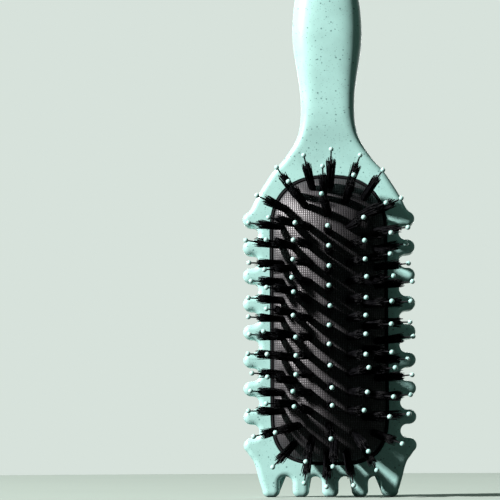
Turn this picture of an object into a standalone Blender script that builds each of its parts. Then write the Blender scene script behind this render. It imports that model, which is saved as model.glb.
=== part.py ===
"""Cushioned styling brush that stands on the teeth at the end of its head.

Metres, +Z up the handle, -Y out of the bristle side. The origin is in the middle of the standing face.
"""

import math
import random

import bmesh
import bpy
from mathutils import Vector

# Teeth round the head
SIDE_TEETH = 9
SIDE_PITCH = 0.01216
SIDE_TOOTH_WIDTH = 0.0062
SIDE_TOOTH_REACH = 0.0068
FIRST_SIDE_RISE = 0.0132
LOWEST_TOOTH_START = -50.0
END_TEETH = 5
END_TOOTH_WIDTH = 0.0070
END_TOOTH_LENGTH = 0.0088
END_CORNER_ROUND = 0.0027
END_SET_IN = 0.0015
CORNER_TOOTH_WIDER = 0.0003
END_ROUND_STEPS = 2
TIP_STEPS = 4
VALLEY_STEPS = 3

# Head and handle, seen from the front
HEAD_HALF_WIDTH = 0.0302
NECK_RISE = 0.0500
NECK_HALF_WIDTH = 0.0116
BULGE_RISE = 0.0317
BULGE_HALF_WIDTH = 0.0151
CAP_RISE = 0.0390
CAP_POWER = 2.0
NECK_STEPS = 4
SHOULDER_SHARES = (
    (0.069, 1.225),
    (0.177, 1.064),
    (0.290, 0.882),
    (0.425, 0.635),
    (0.500, 0.448),
    (0.586, 0.281),
    (0.650, 0.169),
    (0.724, 0.078),
    (0.824, 0.021),
    (1.000, 0.000),
)
CORNER_SHARES = ((0.82, 0.272), (1.154, 0.544), (1.436, 0.816), (1.692, 0.981), (2.128, 1.127))
CAP_SHARES = (0.22, 0.42, 0.60, 0.76, 0.89, 0.97)

# Depths, from the seam between the two mouldings
SEAM_PLACE = 0.0020
RIM_DEPTH = 0.0070
TOE_BACK = 0.0026
HEAD_BACK = 0.0102
NECK_DEPTH = 0.0092
BULGE_DEPTH = 0.0110
EDGE_ROUND = 0.0020
BACK_ROUND = 0.0150
SPINE_HALF_WIDTH = 0.0100
BACK_ROUND_DEPTH_SHARE = 0.62
HANDLE_ROUND_SHARE = 0.86
ROUND_POWER = 2.0
NECK_FACE_POWER = 6.0
BULGE_FACE_POWER = 3.8
WALL = 0.0022
CAVITY_ROUND = 0.0006
ROUND_ANGLES = (0.0, 30.0, 60.0, 90.0)
TOOTH_FADE_SHARES = (1.0, 0.80, 0.35, 0.0)
SPREAD_SHARE = 0.15
BACK_RISE_SHARE = 0.60
CAVITY_EVERY = 5

# Rim, cushion and what holds it
RIM_WIDTH = 0.0050
TOE_RIM = 0.0047
OPENING_TOP_RISE = 0.01885
FLAT_ABOVE_OPENING = 0.0028
OVAL_TOP_POWER = 2.5
OVAL_END_POWER = 3.2
OVAL_STEPS = 60
OVAL_SAMPLES = 800
GAP = 0.0003
RING_GAP = 0.00025
BEZEL_WIDTH = 0.0007
BEZEL_PROUD = 0.0003
CROWN = 0.0115
CROWN_FALL_SHARE = 0.92
SKIN = 0.0016
SKIRT_WIDTH = 0.0012
SKIRT_WALL = 0.0011
SKIRT_WAIST = 0.0004
FLANGE_WIDTH = 0.0032
FLANGE_THICKNESS = 0.0012
TRAY_THICKNESS = 0.0018
BREATHER_RADIUS = 0.0010

# Tufts
OUTER_TUFTS = 36
INNER_TUFTS = 26
SIDE_COLUMN_TUFTS = 11
MIDDLE_COLUMN_TUFTS = 12
OUTER_BAND_SHARE = 0.196
INNER_BAND_SHARE = 0.178
MIDDLE_BAND_SHARE = 0.72
BAND_GAP = 0.0009
END_SLICES_SHARE = 0.15
TUFT_ROOT = 0.0027
STRAND_RADIUS = 0.00040
STRANDS_IN_TUFT = 4
BRISTLE_LENGTH = 0.0162
BRISTLE_SPREAD = 0.0011
PIN_LENGTH = 0.0235
BALL_RADIUS = 0.0011
BALL_TOP_SHARE = 0.35
STRAND_TAPER_SHARE = 0.75

# Posts, inside
POST_RADIUS = 0.0016
SOCKET_CLEARANCE = 0.0003
SOCKET_WALL = 0.0014
SOCKET_DEPTH = 0.0036
LOWEST_POST_RISE = 0.0072
HANDLE_POST_SHARES = (0.02, 0.42, 0.80)
CLAMP_POST_RADIUS = 0.0022
CLAMP_POST_ASIDE = 0.0160
CLAMP_POST_SHARES = (0.20, 0.50, 0.80)
POST_SIDES = 16
OVERRUN = 0.0020
MERGE_DISTANCE = 0.000003
CREASE_DEGREES = 35.0

# Finishes: a colour and a roughness
MINT_PLASTIC = ((0.39, 0.75, 0.67), 0.42)
BLACK_PLASTIC = ((0.012, 0.012, 0.013), 0.45)
CUSHION_CLOTH = ((0.020, 0.020, 0.022), 0.85)
BLACK_BRISTLE = ((0.008, 0.008, 0.009), 0.55)

# Worked out from the sizes above
END_PITCH = (HEAD_HALF_WIDTH - END_SET_IN - END_TOOTH_WIDTH / 2) / (END_TEETH // 2)
TOP_TOOTH = END_TOOTH_LENGTH + FIRST_SIDE_RISE + SIDE_PITCH * (SIDE_TEETH - 1)
NECK_HEIGHT = TOP_TOOTH + NECK_RISE
BULGE_HEIGHT = NECK_HEIGHT + BULGE_RISE
RIM_PLACE = SEAM_PLACE - RIM_DEPTH
OPENING_REACH = HEAD_HALF_WIDTH - RIM_WIDTH
OPENING_END = END_TOOTH_LENGTH + TOE_RIM
OPENING_TOP = TOP_TOOTH + OPENING_TOP_RISE
OVAL_LOW = OPENING_END + OPENING_REACH
OVAL_HIGH = OPENING_TOP - OPENING_REACH
FLAT_TOP = OPENING_TOP + FLAT_ABOVE_OPENING
BEZEL_REACH = OPENING_REACH - RING_GAP
CUSHION_REACH = BEZEL_REACH - BEZEL_WIDTH - RING_GAP
FLANGE_REACH = CUSHION_REACH + FLANGE_WIDTH
CROWN_REACH = CUSHION_REACH - SKIRT_WIDTH - GAP
OUTER_BAND = CROWN_REACH * OUTER_BAND_SHARE
INNER_BAND = CROWN_REACH * INNER_BAND_SHARE
INNER_BAND_REACH = CROWN_REACH - OUTER_BAND - BAND_GAP
CENTRE_REACH = INNER_BAND_REACH - INNER_BAND - BAND_GAP
FLANGE_FRONT = RIM_PLACE + WALL + GAP
TRAY_FRONT = FLANGE_FRONT + FLANGE_THICKNESS + GAP
TRAY_BACK = TRAY_FRONT + TRAY_THICKNESS

PARTS = None
CUTTERS = None


def clear_scene():
    for old in list(bpy.data.objects):
        bpy.data.objects.remove(old)


def new_collection(name):
    made = bpy.data.collections.new(name)
    bpy.context.scene.collection.children.link(made)
    return made


def material(name, finish):
    colour, roughness = finish
    made = bpy.data.materials.new(name)
    made.use_nodes = True
    shader = made.node_tree.nodes["Principled BSDF"]
    shader.inputs["Base Color"].default_value = (*colour, 1.0)
    shader.inputs["Roughness"].default_value = roughness
    shader.inputs["Metallic"].default_value = 0.0
    return made


def add_part(made, finish):
    made.data.materials.append(material(f"{made.name}_finish", finish))
    PARTS.objects.link(made)
    return made


def add_mesh_part(name, mesh, finish):
    return add_part(bpy.data.objects.new(name, mesh), finish)


def add_cutter(name, mesh):
    made = bpy.data.objects.new(name, mesh)
    made.hide_render = True
    made.display_type = "WIRE"
    CUTTERS.objects.link(made)
    return made


def finished_mesh(bm, name):
    bmesh.ops.recalc_face_normals(bm, faces=bm.faces)
    mesh = bpy.data.meshes.new(name)
    bm.to_mesh(mesh)
    bm.free()
    mesh.shade_smooth()
    mesh.set_sharp_from_angle(angle=math.radians(CREASE_DEGREES))
    return mesh


def boolean(target, tool, operation):
    step = target.modifiers.new(f"{operation.lower()} {tool.name}", "BOOLEAN")
    step.object = tool
    step.operation = operation
    step.solver = "EXACT"


def smoothstep(low, high, value):
    share = min(max((value - low) / (high - low), 0.0), 1.0)
    return share * share * (3.0 - 2.0 * share)


def along(knots, value):
    """The smooth curve through (place, size) knots."""
    for (low, before), (high, after) in zip(knots, knots[1:]):
        if value <= high:
            return before + (after - before) * smoothstep(low, high, value)
    return knots[-1][1]


def mix(first, second, share):
    return first + (second - first) * share


def arc(centre, radius, start, stop, steps):
    """Points on an arc in the X-Z plane, its angles in degrees from +X towards +Z."""
    points = []
    for step in range(steps + 1):
        angle = math.radians(mix(start, stop, step / steps))
        points.append((centre[0] + radius * math.cos(angle), centre[1] + radius * math.sin(angle)))
    return points


def end_tooth_outline():
    """Right half of the row of end teeth, from the middle tooth's tip to the corner tooth's tip."""
    flat = END_TOOTH_WIDTH / 2 - END_CORNER_ROUND
    arch = (END_PITCH - END_TOOTH_WIDTH) / 2
    points = []
    for tooth in range((END_TEETH + 1) // 2):
        middle = tooth * END_PITCH
        if tooth:
            left = (middle - flat, END_CORNER_ROUND)
            points += arc(left, END_CORNER_ROUND, 180, 270, END_ROUND_STEPS)
        if tooth < END_TEETH // 2:
            right = (middle + flat, END_CORNER_ROUND)
            points += arc(right, END_CORNER_ROUND, 270, 360, END_ROUND_STEPS)
            slot_top = (middle + END_PITCH / 2, END_TOOTH_LENGTH - arch)
            points += arc(slot_top, arch, 180, 0, VALLEY_STEPS)
    return points


def corner_outline():
    """From the corner tooth's tip up to the lowest side tooth."""
    start = (END_TEETH // 2) * END_PITCH + END_TOOTH_WIDTH / 2 - END_CORNER_ROUND + CORNER_TOOTH_WIDER
    width = HEAD_HALF_WIDTH - start
    height = END_TOOTH_LENGTH + FIRST_SIDE_RISE - SIDE_TOOTH_WIDTH
    rounded = arc((start, END_CORNER_ROUND), END_CORNER_ROUND, 270, 360, END_ROUND_STEPS)
    return rounded + [(start + width * across, height * up) for across, up in CORNER_SHARES]


def side_tooth_outline():
    """The row of side teeth from the lowest tooth's tip to the top one's."""
    half = SIDE_TOOTH_WIDTH / 2
    valley = (SIDE_PITCH - SIDE_TOOTH_WIDTH) / 2
    points = []
    for tooth in range(SIDE_TEETH):
        height = END_TOOTH_LENGTH + FIRST_SIDE_RISE + tooth * SIDE_PITCH
        tip = (HEAD_HALF_WIDTH + SIDE_TOOTH_REACH - half, height)
        first = -90 if tooth else LOWEST_TOOTH_START
        if tooth < SIDE_TEETH - 1:
            points += arc(tip, half, first, 90, TIP_STEPS)
            gap_middle = (HEAD_HALF_WIDTH + valley, height + SIDE_PITCH / 2)
            points += arc(gap_middle, valley, 270, 90, VALLEY_STEPS)
        else:
            points += arc(tip, half, -90, 45, TIP_STEPS - 1)
    return points


def upper_outline():
    """Shoulder, neck, bulge and rounded end of the handle."""
    points = []
    for up, across in SHOULDER_SHARES:
        points.append((mix(NECK_HALF_WIDTH, HEAD_HALF_WIDTH, across), TOP_TOOTH + NECK_RISE * up))
    for step in range(1, NECK_STEPS + 1):
        share = step / NECK_STEPS
        width = mix(NECK_HALF_WIDTH, BULGE_HALF_WIDTH, smoothstep(0, 1, share))
        points.append((width, NECK_HEIGHT + BULGE_RISE * share))
    for share in CAP_SHARES:
        width = BULGE_HALF_WIDTH * math.sqrt(1 - share**CAP_POWER)
        points.append((width, BULGE_HEIGHT + CAP_RISE * share))
    return points


def body_outline():
    """(edge, core) points of the right half, from the end teeth to the handle's end.

    The core is the same point held inside the body without teeth, and spread so that no two of them meet.
    The count of the points up to the lowest side tooth comes with them.
    """
    ends = end_tooth_outline() + corner_outline()
    sides = side_tooth_outline()
    pairs = []
    for index, (width, height) in enumerate(ends):
        even = HEAD_HALF_WIDTH * (index + 1) / (len(ends) + 1)
        held = mix(min(width, HEAD_HALF_WIDTH), even, SPREAD_SHARE)
        pairs.append((Vector((width, height)), Vector((held, max(height, END_TOOTH_LENGTH)))))
    for index, (width, height) in enumerate(sides):
        even = mix(sides[0][1], sides[-1][1], index / (len(sides) - 1))
        pairs.append((Vector((width, height)), Vector((HEAD_HALF_WIDTH, mix(height, even, SPREAD_SHARE)))))
    for width, height in upper_outline():
        pairs.append((Vector((width, height)), Vector((min(width, HEAD_HALF_WIDTH), height))))
    return pairs, len(ends)


def full_loop(right, top):
    """A right half, from the end upwards, its top point and its mirrored left half."""
    return right + [top] + [Vector((-point.x, point.y)) for point in reversed(right)]


def outward_normals(loop):
    normals = []
    for index in range(len(loop)):
        run = loop[(index + 1) % len(loop)] - loop[index - 1]
        normals.append(Vector((run.y, -run.x)).normalized())
    return normals


def handle_share(height):
    """0 on the flat head, 1 on the round handle."""
    return smoothstep(FLAT_TOP, NECK_HEIGHT, height)


def spine_of(point):
    """The nearest point of the body's spine, a strip in the head that narrows to a line in the handle."""
    half = SPINE_HALF_WIDTH * (1 - handle_share(point.y))
    return Vector((min(max(point.x, -half), half), min(max(point.y, OVAL_LOW), BULGE_HEIGHT)))


def front_depth(height):
    knots = ((FLAT_TOP, RIM_DEPTH), (NECK_HEIGHT, NECK_DEPTH), (BULGE_HEIGHT, BULGE_DEPTH))
    return along(knots, max(height, FLAT_TOP))


def back_depth(height):
    middle = mix(END_TOOTH_LENGTH, TOP_TOOTH, BACK_RISE_SHARE)
    if height < middle:
        return mix(TOE_BACK, HEAD_BACK, math.sin(math.pi / 2 * max(height, 0.0) / middle))
    knots = ((middle, HEAD_BACK), (NECK_HEIGHT, NECK_DEPTH), (BULGE_HEIGHT, BULGE_DEPTH))
    return along(knots, height)


def section_power(height, side):
    """2 where the section is round. More is a flatter face with tighter corners, as on the handle's front."""
    if side > 0:
        return ROUND_POWER
    knots = ((FLAT_TOP, ROUND_POWER), (NECK_HEIGHT, NECK_FACE_POWER), (BULGE_HEIGHT, BULGE_FACE_POWER))
    return along(knots, height)


def level_points(edge, core, normals, side, angle, fade, inset, edge_round):
    """One ring of the body. side is -1 in front of the seam and 1 behind it. Angle None is on the seam."""
    ring = []
    for index, (outer, inner) in enumerate(zip(edge, core)):
        place = inner.lerp(outer, fade)
        handle = handle_share(place.y)
        away = (place - spine_of(place)).normalized()
        head_way = normals[index] if side < 0 and fade == 1.0 else away
        way = head_way.lerp(away, handle).normalized()
        place = place - way * inset
        if angle is None:
            ring.append(Vector((place.x, SEAM_PLACE, place.y)))
            continue
        turn = math.radians(angle)
        curve = 2 / section_power(place.y, side)
        widest = (place - spine_of(place)).length * HANDLE_ROUND_SHARE
        around = mix(min(edge_round, widest), widest, handle)
        place = place - way * around * (1 - math.cos(turn) ** curve)
        depth = (front_depth(place.y) if side < 0 else back_depth(place.y)) - inset
        head_depth = edge_round if side < 0 else depth * BACK_ROUND_DEPTH_SHARE
        depth_round = mix(head_depth, depth * HANDLE_ROUND_SHARE, handle)
        depth = depth - depth_round * (1 - math.sin(turn) ** curve)
        ring.append(Vector((place.x, SEAM_PLACE + side * depth, place.y)))
    return ring


def bridge(bm, lower, upper):
    """Quads between two rings of as many points."""
    for index in range(len(lower)):
        after = (index + 1) % len(lower)
        bm.faces.new((lower[index], lower[after], upper[after], upper[index]))


def close_ring(bm, ring, split):
    """Closes a ring with one flat face up to the split point of each half, and with strips above that."""
    half = (len(ring) - 1) // 2
    right = ring[:half]
    left = ring[:half:-1]
    bm.faces.new(right[: split + 1] + left[split::-1])
    for index in range(split, half - 1):
        bm.faces.new((right[index], right[index + 1], left[index + 1], left[index]))
    bm.faces.new((right[-1], ring[half], left[-1]))


def loft_half(bm, outline, side, inset, edge_round, seam_gap):
    """Rings of one half of the body from the seam outwards. Returns the seam ring's vertices."""
    edge, core, normals, split, fades = outline
    rings = [level_points(edge, core, normals, side, None, fades[0], inset, edge_round)]
    for angle, fade in zip(ROUND_ANGLES, fades):
        rings.append(level_points(edge, core, normals, side, angle, fade, inset, edge_round))
    for point in rings[0]:
        point.y += side * seam_gap
    made = [[bm.verts.new(point) for point in ring] for ring in rings]
    for lower, upper in zip(made, made[1:]):
        bridge(bm, lower, upper)
    close_ring(bm, made[-1], split)
    return made[0]


def outline_for(pairs, split, fades):
    top = Vector((0.0, BULGE_HEIGHT + CAP_RISE))
    edge = full_loop([pair[0] for pair in pairs], top)
    core = full_loop([pair[1] for pair in pairs], top)
    return edge, core, outward_normals(edge), split, fades


def moulding_mesh(name, side):
    """The outer form of one moulding, closed at the seam."""
    pairs, ends = body_outline()
    flat = max(index for index, pair in enumerate(pairs) if pair[0].y <= FLAT_TOP)
    if side < 0:
        outline = outline_for(pairs, flat, (1.0,) * len(ROUND_ANGLES))
        edge_round = EDGE_ROUND
    else:
        outline = outline_for(pairs, ends, TOOTH_FADE_SHARES)
        edge_round = BACK_ROUND
    bm = bmesh.new()
    seam = loft_half(bm, outline, side, 0.0, edge_round, GAP / 2)
    bm.faces.new(seam)
    return finished_mesh(bm, name)


def cavity_mesh():
    """The hollow of both mouldings, one wall inside the toothless core."""
    pairs, ends = body_outline()
    head = [core for edge, core in pairs if core.y <= TOP_TOOTH][::CAVITY_EVERY]
    handle = [core for edge, core in pairs if core.y > TOP_TOOTH]
    kept = [(core, core) for core in head + handle]
    split = max(index for index, pair in enumerate(kept) if pair[0].y <= FLAT_TOP)
    low = ends // CAVITY_EVERY + 1
    bm = bmesh.new()
    fades = (1.0,) * len(ROUND_ANGLES)
    front = loft_half(bm, outline_for(kept, split, fades), -1, WALL, CAVITY_ROUND, 0.0)
    back = loft_half(bm, outline_for(kept, low, fades), 1, WALL, BACK_ROUND, 0.0)
    bmesh.ops.weld_verts(bm, targetmap=dict(zip(back, front)))
    bmesh.ops.triangulate(bm, faces=bm.faces)
    return finished_mesh(bm, "body_cavity")


def oval_point(reach, turn):
    """A point of the cushion's oval. Each whole turn is a stretch: right side, top, left side, end."""
    turn = turn % 4
    side = int(turn)
    share = turn - side
    if side == 0:
        return Vector((reach, mix(OVAL_LOW, OVAL_HIGH, share)))
    if side == 2:
        return Vector((-reach, mix(OVAL_HIGH, OVAL_LOW, share)))
    power, base, way = (OVAL_TOP_POWER, OVAL_HIGH, 1) if side == 1 else (OVAL_END_POWER, OVAL_LOW, -1)
    angle = math.pi * share
    across = math.copysign(abs(math.cos(angle)) ** (2 / power), math.cos(angle)) * way
    return Vector((reach * across, base + way * reach * abs(math.sin(angle)) ** (2 / power)))


def oval_turns(reach, count):
    """Turns that cut the oval of that reach into stretches of one length."""
    fine = [4 * step / OVAL_SAMPLES for step in range(OVAL_SAMPLES + 1)]
    lengths = [0.0]
    for before, after in zip(fine, fine[1:]):
        lengths.append(lengths[-1] + (oval_point(reach, after) - oval_point(reach, before)).length)
    turns = []
    for index in range(count):
        wanted = index / count * lengths[-1]
        nearest = min(range(len(fine)), key=lambda place: abs(lengths[place] - wanted))
        turns.append(fine[nearest])
    return turns


def crown_share(point):
    """0 on the middle line, 1 on the cushion's edge."""
    over = max(point.y - OVAL_HIGH, OVAL_LOW - point.y, 0.0)
    power = OVAL_TOP_POWER if point.y > OVAL_HIGH else OVAL_END_POWER
    return ((abs(point.x) / CUSHION_REACH) ** power + (over / CUSHION_REACH) ** power) ** (1 / power)


def crown_place(point):
    """Where the cushion's skin stands over a point of the rim plane."""
    return RIM_PLACE - CROWN * (1 - CROWN_FALL_SHARE * crown_share(point) ** 2)


def crown_normal(point):
    step = GAP
    slope_x = (crown_place(point + Vector((step, 0))) - crown_place(point - Vector((step, 0)))) / (2 * step)
    slope_z = (crown_place(point + Vector((0, step))) - crown_place(point - Vector((0, step)))) / (2 * step)
    return Vector((slope_x, -1.0, slope_z)).normalized()


def on_crown(point, below):
    place = Vector((point.x, crown_place(point), point.y))
    return place - crown_normal(point) * below


def set_regular(face, centre, normal, radius):
    """Moves a small face to a centre and makes it regular there, turned as little as possible."""
    side = Vector((0, 0, 1)).cross(normal).normalized()
    other = normal.cross(side)
    arms = [vert.co - face.calc_center_median() for vert in face.verts]
    step = math.copysign(math.tau / len(arms), arms[0].cross(arms[1]).dot(normal))
    angles = [math.atan2(arm.dot(other), arm.dot(side)) - index * step for index, arm in enumerate(arms)]
    begin = math.atan2(sum(math.sin(angle) for angle in angles), sum(math.cos(angle) for angle in angles))
    for index, vert in enumerate(face.verts):
        angle = begin + index * step
        vert.co = centre + (side * math.cos(angle) + other * math.sin(angle)) * radius


def extrude_strand(bm, face, stations, normal):
    """Draws a strand out of a face. A station is a centre and a radius."""
    for centre, radius in stations:
        face = bmesh.ops.extrude_discrete_faces(bm, faces=[face])["faces"][0]
        set_regular(face, centre, normal, radius)


def plant_tuft(bm, cell, middle, seed):
    """Turns one cell of a slice into a tuft: a ball-tipped pin and its bristles."""
    dice = random.Random(seed)
    normal = crown_normal(middle)
    root = on_crown(middle, 0.0)
    bmesh.ops.inset_individual(bm, faces=[cell], thickness=GAP)
    set_regular(cell, root, normal, TUFT_ROOT / math.sqrt(2))
    faces = bmesh.ops.poke(bm, faces=[cell])["faces"]
    bmesh.ops.inset_individual(bm, faces=faces, thickness=STRAND_RADIUS / 2)
    pin = dice.randrange(STRANDS_IN_TUFT)
    for index, face in enumerate(faces):
        foot = face.calc_center_median()
        set_regular(face, foot, normal, STRAND_RADIUS)
        aside = (foot - root).normalized()
        if index == pin:
            neck = foot + normal * (PIN_LENGTH - 2 * BALL_RADIUS)
            ball = neck + normal * BALL_RADIUS
            stations = (
                (neck, STRAND_RADIUS * STRAND_TAPER_SHARE),
                (ball, BALL_RADIUS),
                (ball + normal * BALL_RADIUS, BALL_RADIUS * BALL_TOP_SHARE),
            )
        else:
            length = BRISTLE_LENGTH - dice.random() * BRISTLE_SPREAD
            tip = foot + normal * length + aside * BRISTLE_SPREAD / 2
            stations = ((tip, STRAND_RADIUS * STRAND_TAPER_SHARE),)
        extrude_strand(bm, face, stations, normal)


def tuft_slice(name, corners, finish, seed):
    """A slice of the cushion's crown with a tuft in each cell. corners holds the two long edges' points."""
    bm = bmesh.new()
    first, second = corners
    lower = [[bm.verts.new(on_crown(point, SKIN)) for point in line] for line in (first, second)]
    upper = [[bm.verts.new(on_crown(point, 0.0)) for point in line] for line in (first, second)]
    cells = []
    for index in range(len(first) - 1):
        after = index + 1
        bm.faces.new((lower[0][index], lower[0][after], lower[1][after], lower[1][index]))
        cells.append(bm.faces.new((upper[0][index], upper[1][index], upper[1][after], upper[0][after])))
        for row in (0, 1):
            bm.faces.new((lower[row][index], upper[row][index], upper[row][after], lower[row][after]))
    for end in (0, len(first) - 1):
        bm.faces.new((lower[0][end], lower[1][end], upper[1][end], upper[0][end]))
    bmesh.ops.recalc_face_normals(bm, faces=bm.faces)
    for index, cell in enumerate(cells):
        middle = (first[index] + first[index + 1] + second[index] + second[index + 1]) / 4
        plant_tuft(bm, cell, middle, seed + index)
    return add_mesh_part(name, finished_mesh(bm, name), finish)


def shortened(line):
    """Draws both ends of an edge in by half a gap, so that neighbours in a ring stay clear."""
    start = line[0] + (line[1] - line[0]).normalized() * GAP / 2
    stop = line[-1] + (line[-2] - line[-1]).normalized() * GAP / 2
    return [start] + line[1:-1] + [stop]


def ring_slices(prefix, outer_reach, width, count, finish):
    """The slices of one ring: top, end and two on each side."""
    turns = oval_turns(outer_reach - width / 2, count)
    ends = int(count * END_SLICES_SHARE)
    side = (count - 2 * ends) // 4
    plan = (
        ("right_lower", side),
        ("right_upper", side),
        ("top", ends),
        ("left_upper", side),
        ("left_lower", side),
        ("end", count - ends - 4 * side),
    )
    made = []
    start = 0
    for place, cells in plan:
        reaches = (outer_reach, outer_reach - width)
        used = [turns[(start + step) % count] for step in range(cells + 1)]
        lines = [shortened([oval_point(reach, turn) for turn in used]) for reach in reaches]
        made.append(tuft_slice(f"{prefix}_{place}", lines, finish, start))
        start += cells
    return made


def centre_limit(across, top):
    """How high or low the centre of the crown reaches at a distance from the middle line."""
    power = OVAL_TOP_POWER if top else OVAL_END_POWER
    rise = CENTRE_REACH * max(1 - (abs(across) / CENTRE_REACH) ** power, 0.0) ** (1 / power)
    return OVAL_HIGH + rise if top else OVAL_LOW - rise


def column_slices(name, near, far, count, finish, seed):
    """A column of tufts between two distances from the middle line, in an upper and a lower slice."""
    lines = []
    for across in (near, far):
        low = centre_limit(across, False)
        high = centre_limit(across, True)
        lines.append([Vector((across, mix(low, high, step / count))) for step in range(count + 1)])
    half = count // 2
    lower = [shortened(line[: half + 1]) for line in lines]
    upper = [shortened(line[half:]) for line in lines]
    return [
        tuft_slice(f"{name}_lower", lower, finish, seed),
        tuft_slice(f"{name}_upper", upper, finish, seed + half),
    ]


def tufts(finish):
    half = CENTRE_REACH * MIDDLE_BAND_SHARE / 2
    made = ring_slices("outer_tufts", CROWN_REACH, OUTER_BAND, OUTER_TUFTS, finish)
    made += ring_slices("inner_tufts", INNER_BAND_REACH, INNER_BAND, INNER_TUFTS, finish)
    made += column_slices("centre_tufts_middle", -half, half, MIDDLE_COLUMN_TUFTS, finish, OUTER_TUFTS)
    for side, way in (("left", -1), ("right", 1)):
        near = way * (half + GAP)
        far = way * CENTRE_REACH
        made += column_slices(f"centre_tufts_{side}", near, far, SIDE_COLUMN_TUFTS, finish, INNER_TUFTS)
    return made


def swept_ring(name, section, count, finish):
    """A closed section of (reach, place) points carried round the cushion's oval."""
    bm = bmesh.new()
    rings = []
    for turn in oval_turns(CUSHION_REACH, count):
        ring = []
        for reach, place in section:
            point = oval_point(reach, turn)
            ring.append(bm.verts.new((point.x, place, point.y)))
        rings.append(ring)
    for index, ring in enumerate(rings):
        bridge(bm, ring, rings[(index + 1) % count])
    return add_mesh_part(name, finished_mesh(bm, name), finish)


def cushion_skirt(finish):
    """The cushion's drawn-in side, from the flange behind the rim up to the crown."""
    top_reach = CUSHION_REACH - SKIRT_WIDTH
    top = crown_place(Vector((top_reach, OVAL_LOW)))
    shoulder = crown_place(Vector((CUSHION_REACH, OVAL_LOW)))
    flange_back = FLANGE_FRONT + FLANGE_THICKNESS
    section = (
        (top_reach, top),
        (CUSHION_REACH, shoulder),
        (CUSHION_REACH - SKIRT_WAIST, (shoulder + FLANGE_FRONT) / 2),
        (CUSHION_REACH, FLANGE_FRONT),
        (FLANGE_REACH, FLANGE_FRONT),
        (FLANGE_REACH, flange_back),
        (CUSHION_REACH - SKIRT_WALL, flange_back),
        (top_reach, shoulder + SKIRT_WALL),
    )
    return swept_ring("cushion_skirt", section, OVAL_STEPS, finish)


def outline_curve(name, outlines, front, back):
    """A flat outline in the X-Z plane, with holes, from one Y place to another."""
    curve = bpy.data.curves.new(name, "CURVE")
    curve.dimensions = "2D"
    curve.fill_mode = "BOTH"
    curve.extrude = (back - front) / 2
    for points in outlines:
        spline = curve.splines.new("POLY")
        spline.points.add(len(points) - 1)
        for target, point in zip(spline.points, points):
            target.co = (point.x, point.y, 0.0, 1.0)
        spline.use_cyclic_u = True
    made = bpy.data.objects.new(name, curve)
    made.rotation_euler = (math.pi / 2, 0.0, 0.0)
    made.location = (0.0, (front + back) / 2, 0.0)
    return made


def oval_outline(reach):
    return [oval_point(reach, turn) for turn in oval_turns(reach, OVAL_STEPS)]


def cushion_bezel(finish):
    """The thin black ring that lines the opening in front of the flange."""
    inner = BEZEL_REACH - BEZEL_WIDTH
    outlines = (oval_outline(BEZEL_REACH), oval_outline(inner))
    made = outline_curve("cushion_bezel", outlines, RIM_PLACE - BEZEL_PROUD, FLANGE_FRONT - GAP)
    return add_part(made, finish)


def cushion_tray(finish):
    """The plate behind the cushion, with its breather hole."""
    middle = (OVAL_LOW + OVAL_HIGH) / 2
    hole = [Vector(point) for point in arc((0.0, middle), BREATHER_RADIUS, 0, 360, POST_SIDES)[:-1]]
    made = outline_curve("cushion_tray", (oval_outline(FLANGE_REACH), hole), TRAY_FRONT, TRAY_BACK)
    return add_part(made, finish)


def mesh_of_curve(source):
    """A closed mesh object in place of a curve object, at the same place."""
    PARTS.objects.link(source)
    graph = bpy.context.evaluated_depsgraph_get()
    mesh = bpy.data.meshes.new_from_object(source.evaluated_get(graph))
    bm = bmesh.new()
    bm.from_mesh(mesh)
    bmesh.ops.remove_doubles(bm, verts=bm.verts, dist=MERGE_DISTANCE)
    bmesh.ops.transform(bm, matrix=source.matrix_world, verts=bm.verts)
    bmesh.ops.recalc_face_normals(bm, faces=bm.faces)
    bm.to_mesh(mesh)
    bm.free()
    bpy.data.objects.remove(source)
    return mesh


def posts_mesh(name, posts):
    """Round posts along Y. A post is its place across, its height, its two ends and its radius."""
    bm = bmesh.new()
    for across, height, front, back, radius in posts:
        made = bmesh.ops.create_cone(
            bm, cap_ends=True, segments=POST_SIDES, radius1=radius, radius2=radius, depth=back - front
        )
        for vert in made["verts"]:
            place = vert.co.copy()
            vert.co = Vector((across + place.x, (front + back) / 2 + place.z, height + place.y))
    bmesh.ops.recalc_face_normals(bm, faces=bm.faces)
    return finished_mesh(bm, name)


def handle_post_heights():
    return [mix(FLAT_TOP + LOWEST_POST_RISE, BULGE_HEIGHT, share) for share in HANDLE_POST_SHARES]


def front_frame(finish):
    """The front moulding: rim, front of the handle, front half of the teeth and the sockets."""
    made = add_mesh_part("front_frame", moulding_mesh("front_frame", -1), finish)
    opening = outline_curve(
        "rim_opening", (oval_outline(OPENING_REACH),), RIM_PLACE - OVERRUN, SEAM_PLACE + OVERRUN
    )
    boolean(made, bpy.data.objects["body_cavity"], "DIFFERENCE")
    boolean(made, add_cutter("rim_opening", mesh_of_curve(opening)), "DIFFERENCE")
    bosses = []
    bores = []
    bore = POST_RADIUS + SOCKET_CLEARANCE
    for height in handle_post_heights():
        outer = SEAM_PLACE - front_depth(height) + WALL / 2
        mouth = SEAM_PLACE - GAP / 2
        bosses.append((0.0, height, outer, mouth, bore + SOCKET_WALL))
        bores.append((0.0, height, mouth - SOCKET_DEPTH, mouth + OVERRUN, bore))
    boolean(made, add_cutter("socket_bosses", posts_mesh("socket_bosses", bosses)), "UNION")
    boolean(made, add_cutter("socket_bores", posts_mesh("socket_bores", bores)), "DIFFERENCE")
    return made


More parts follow.
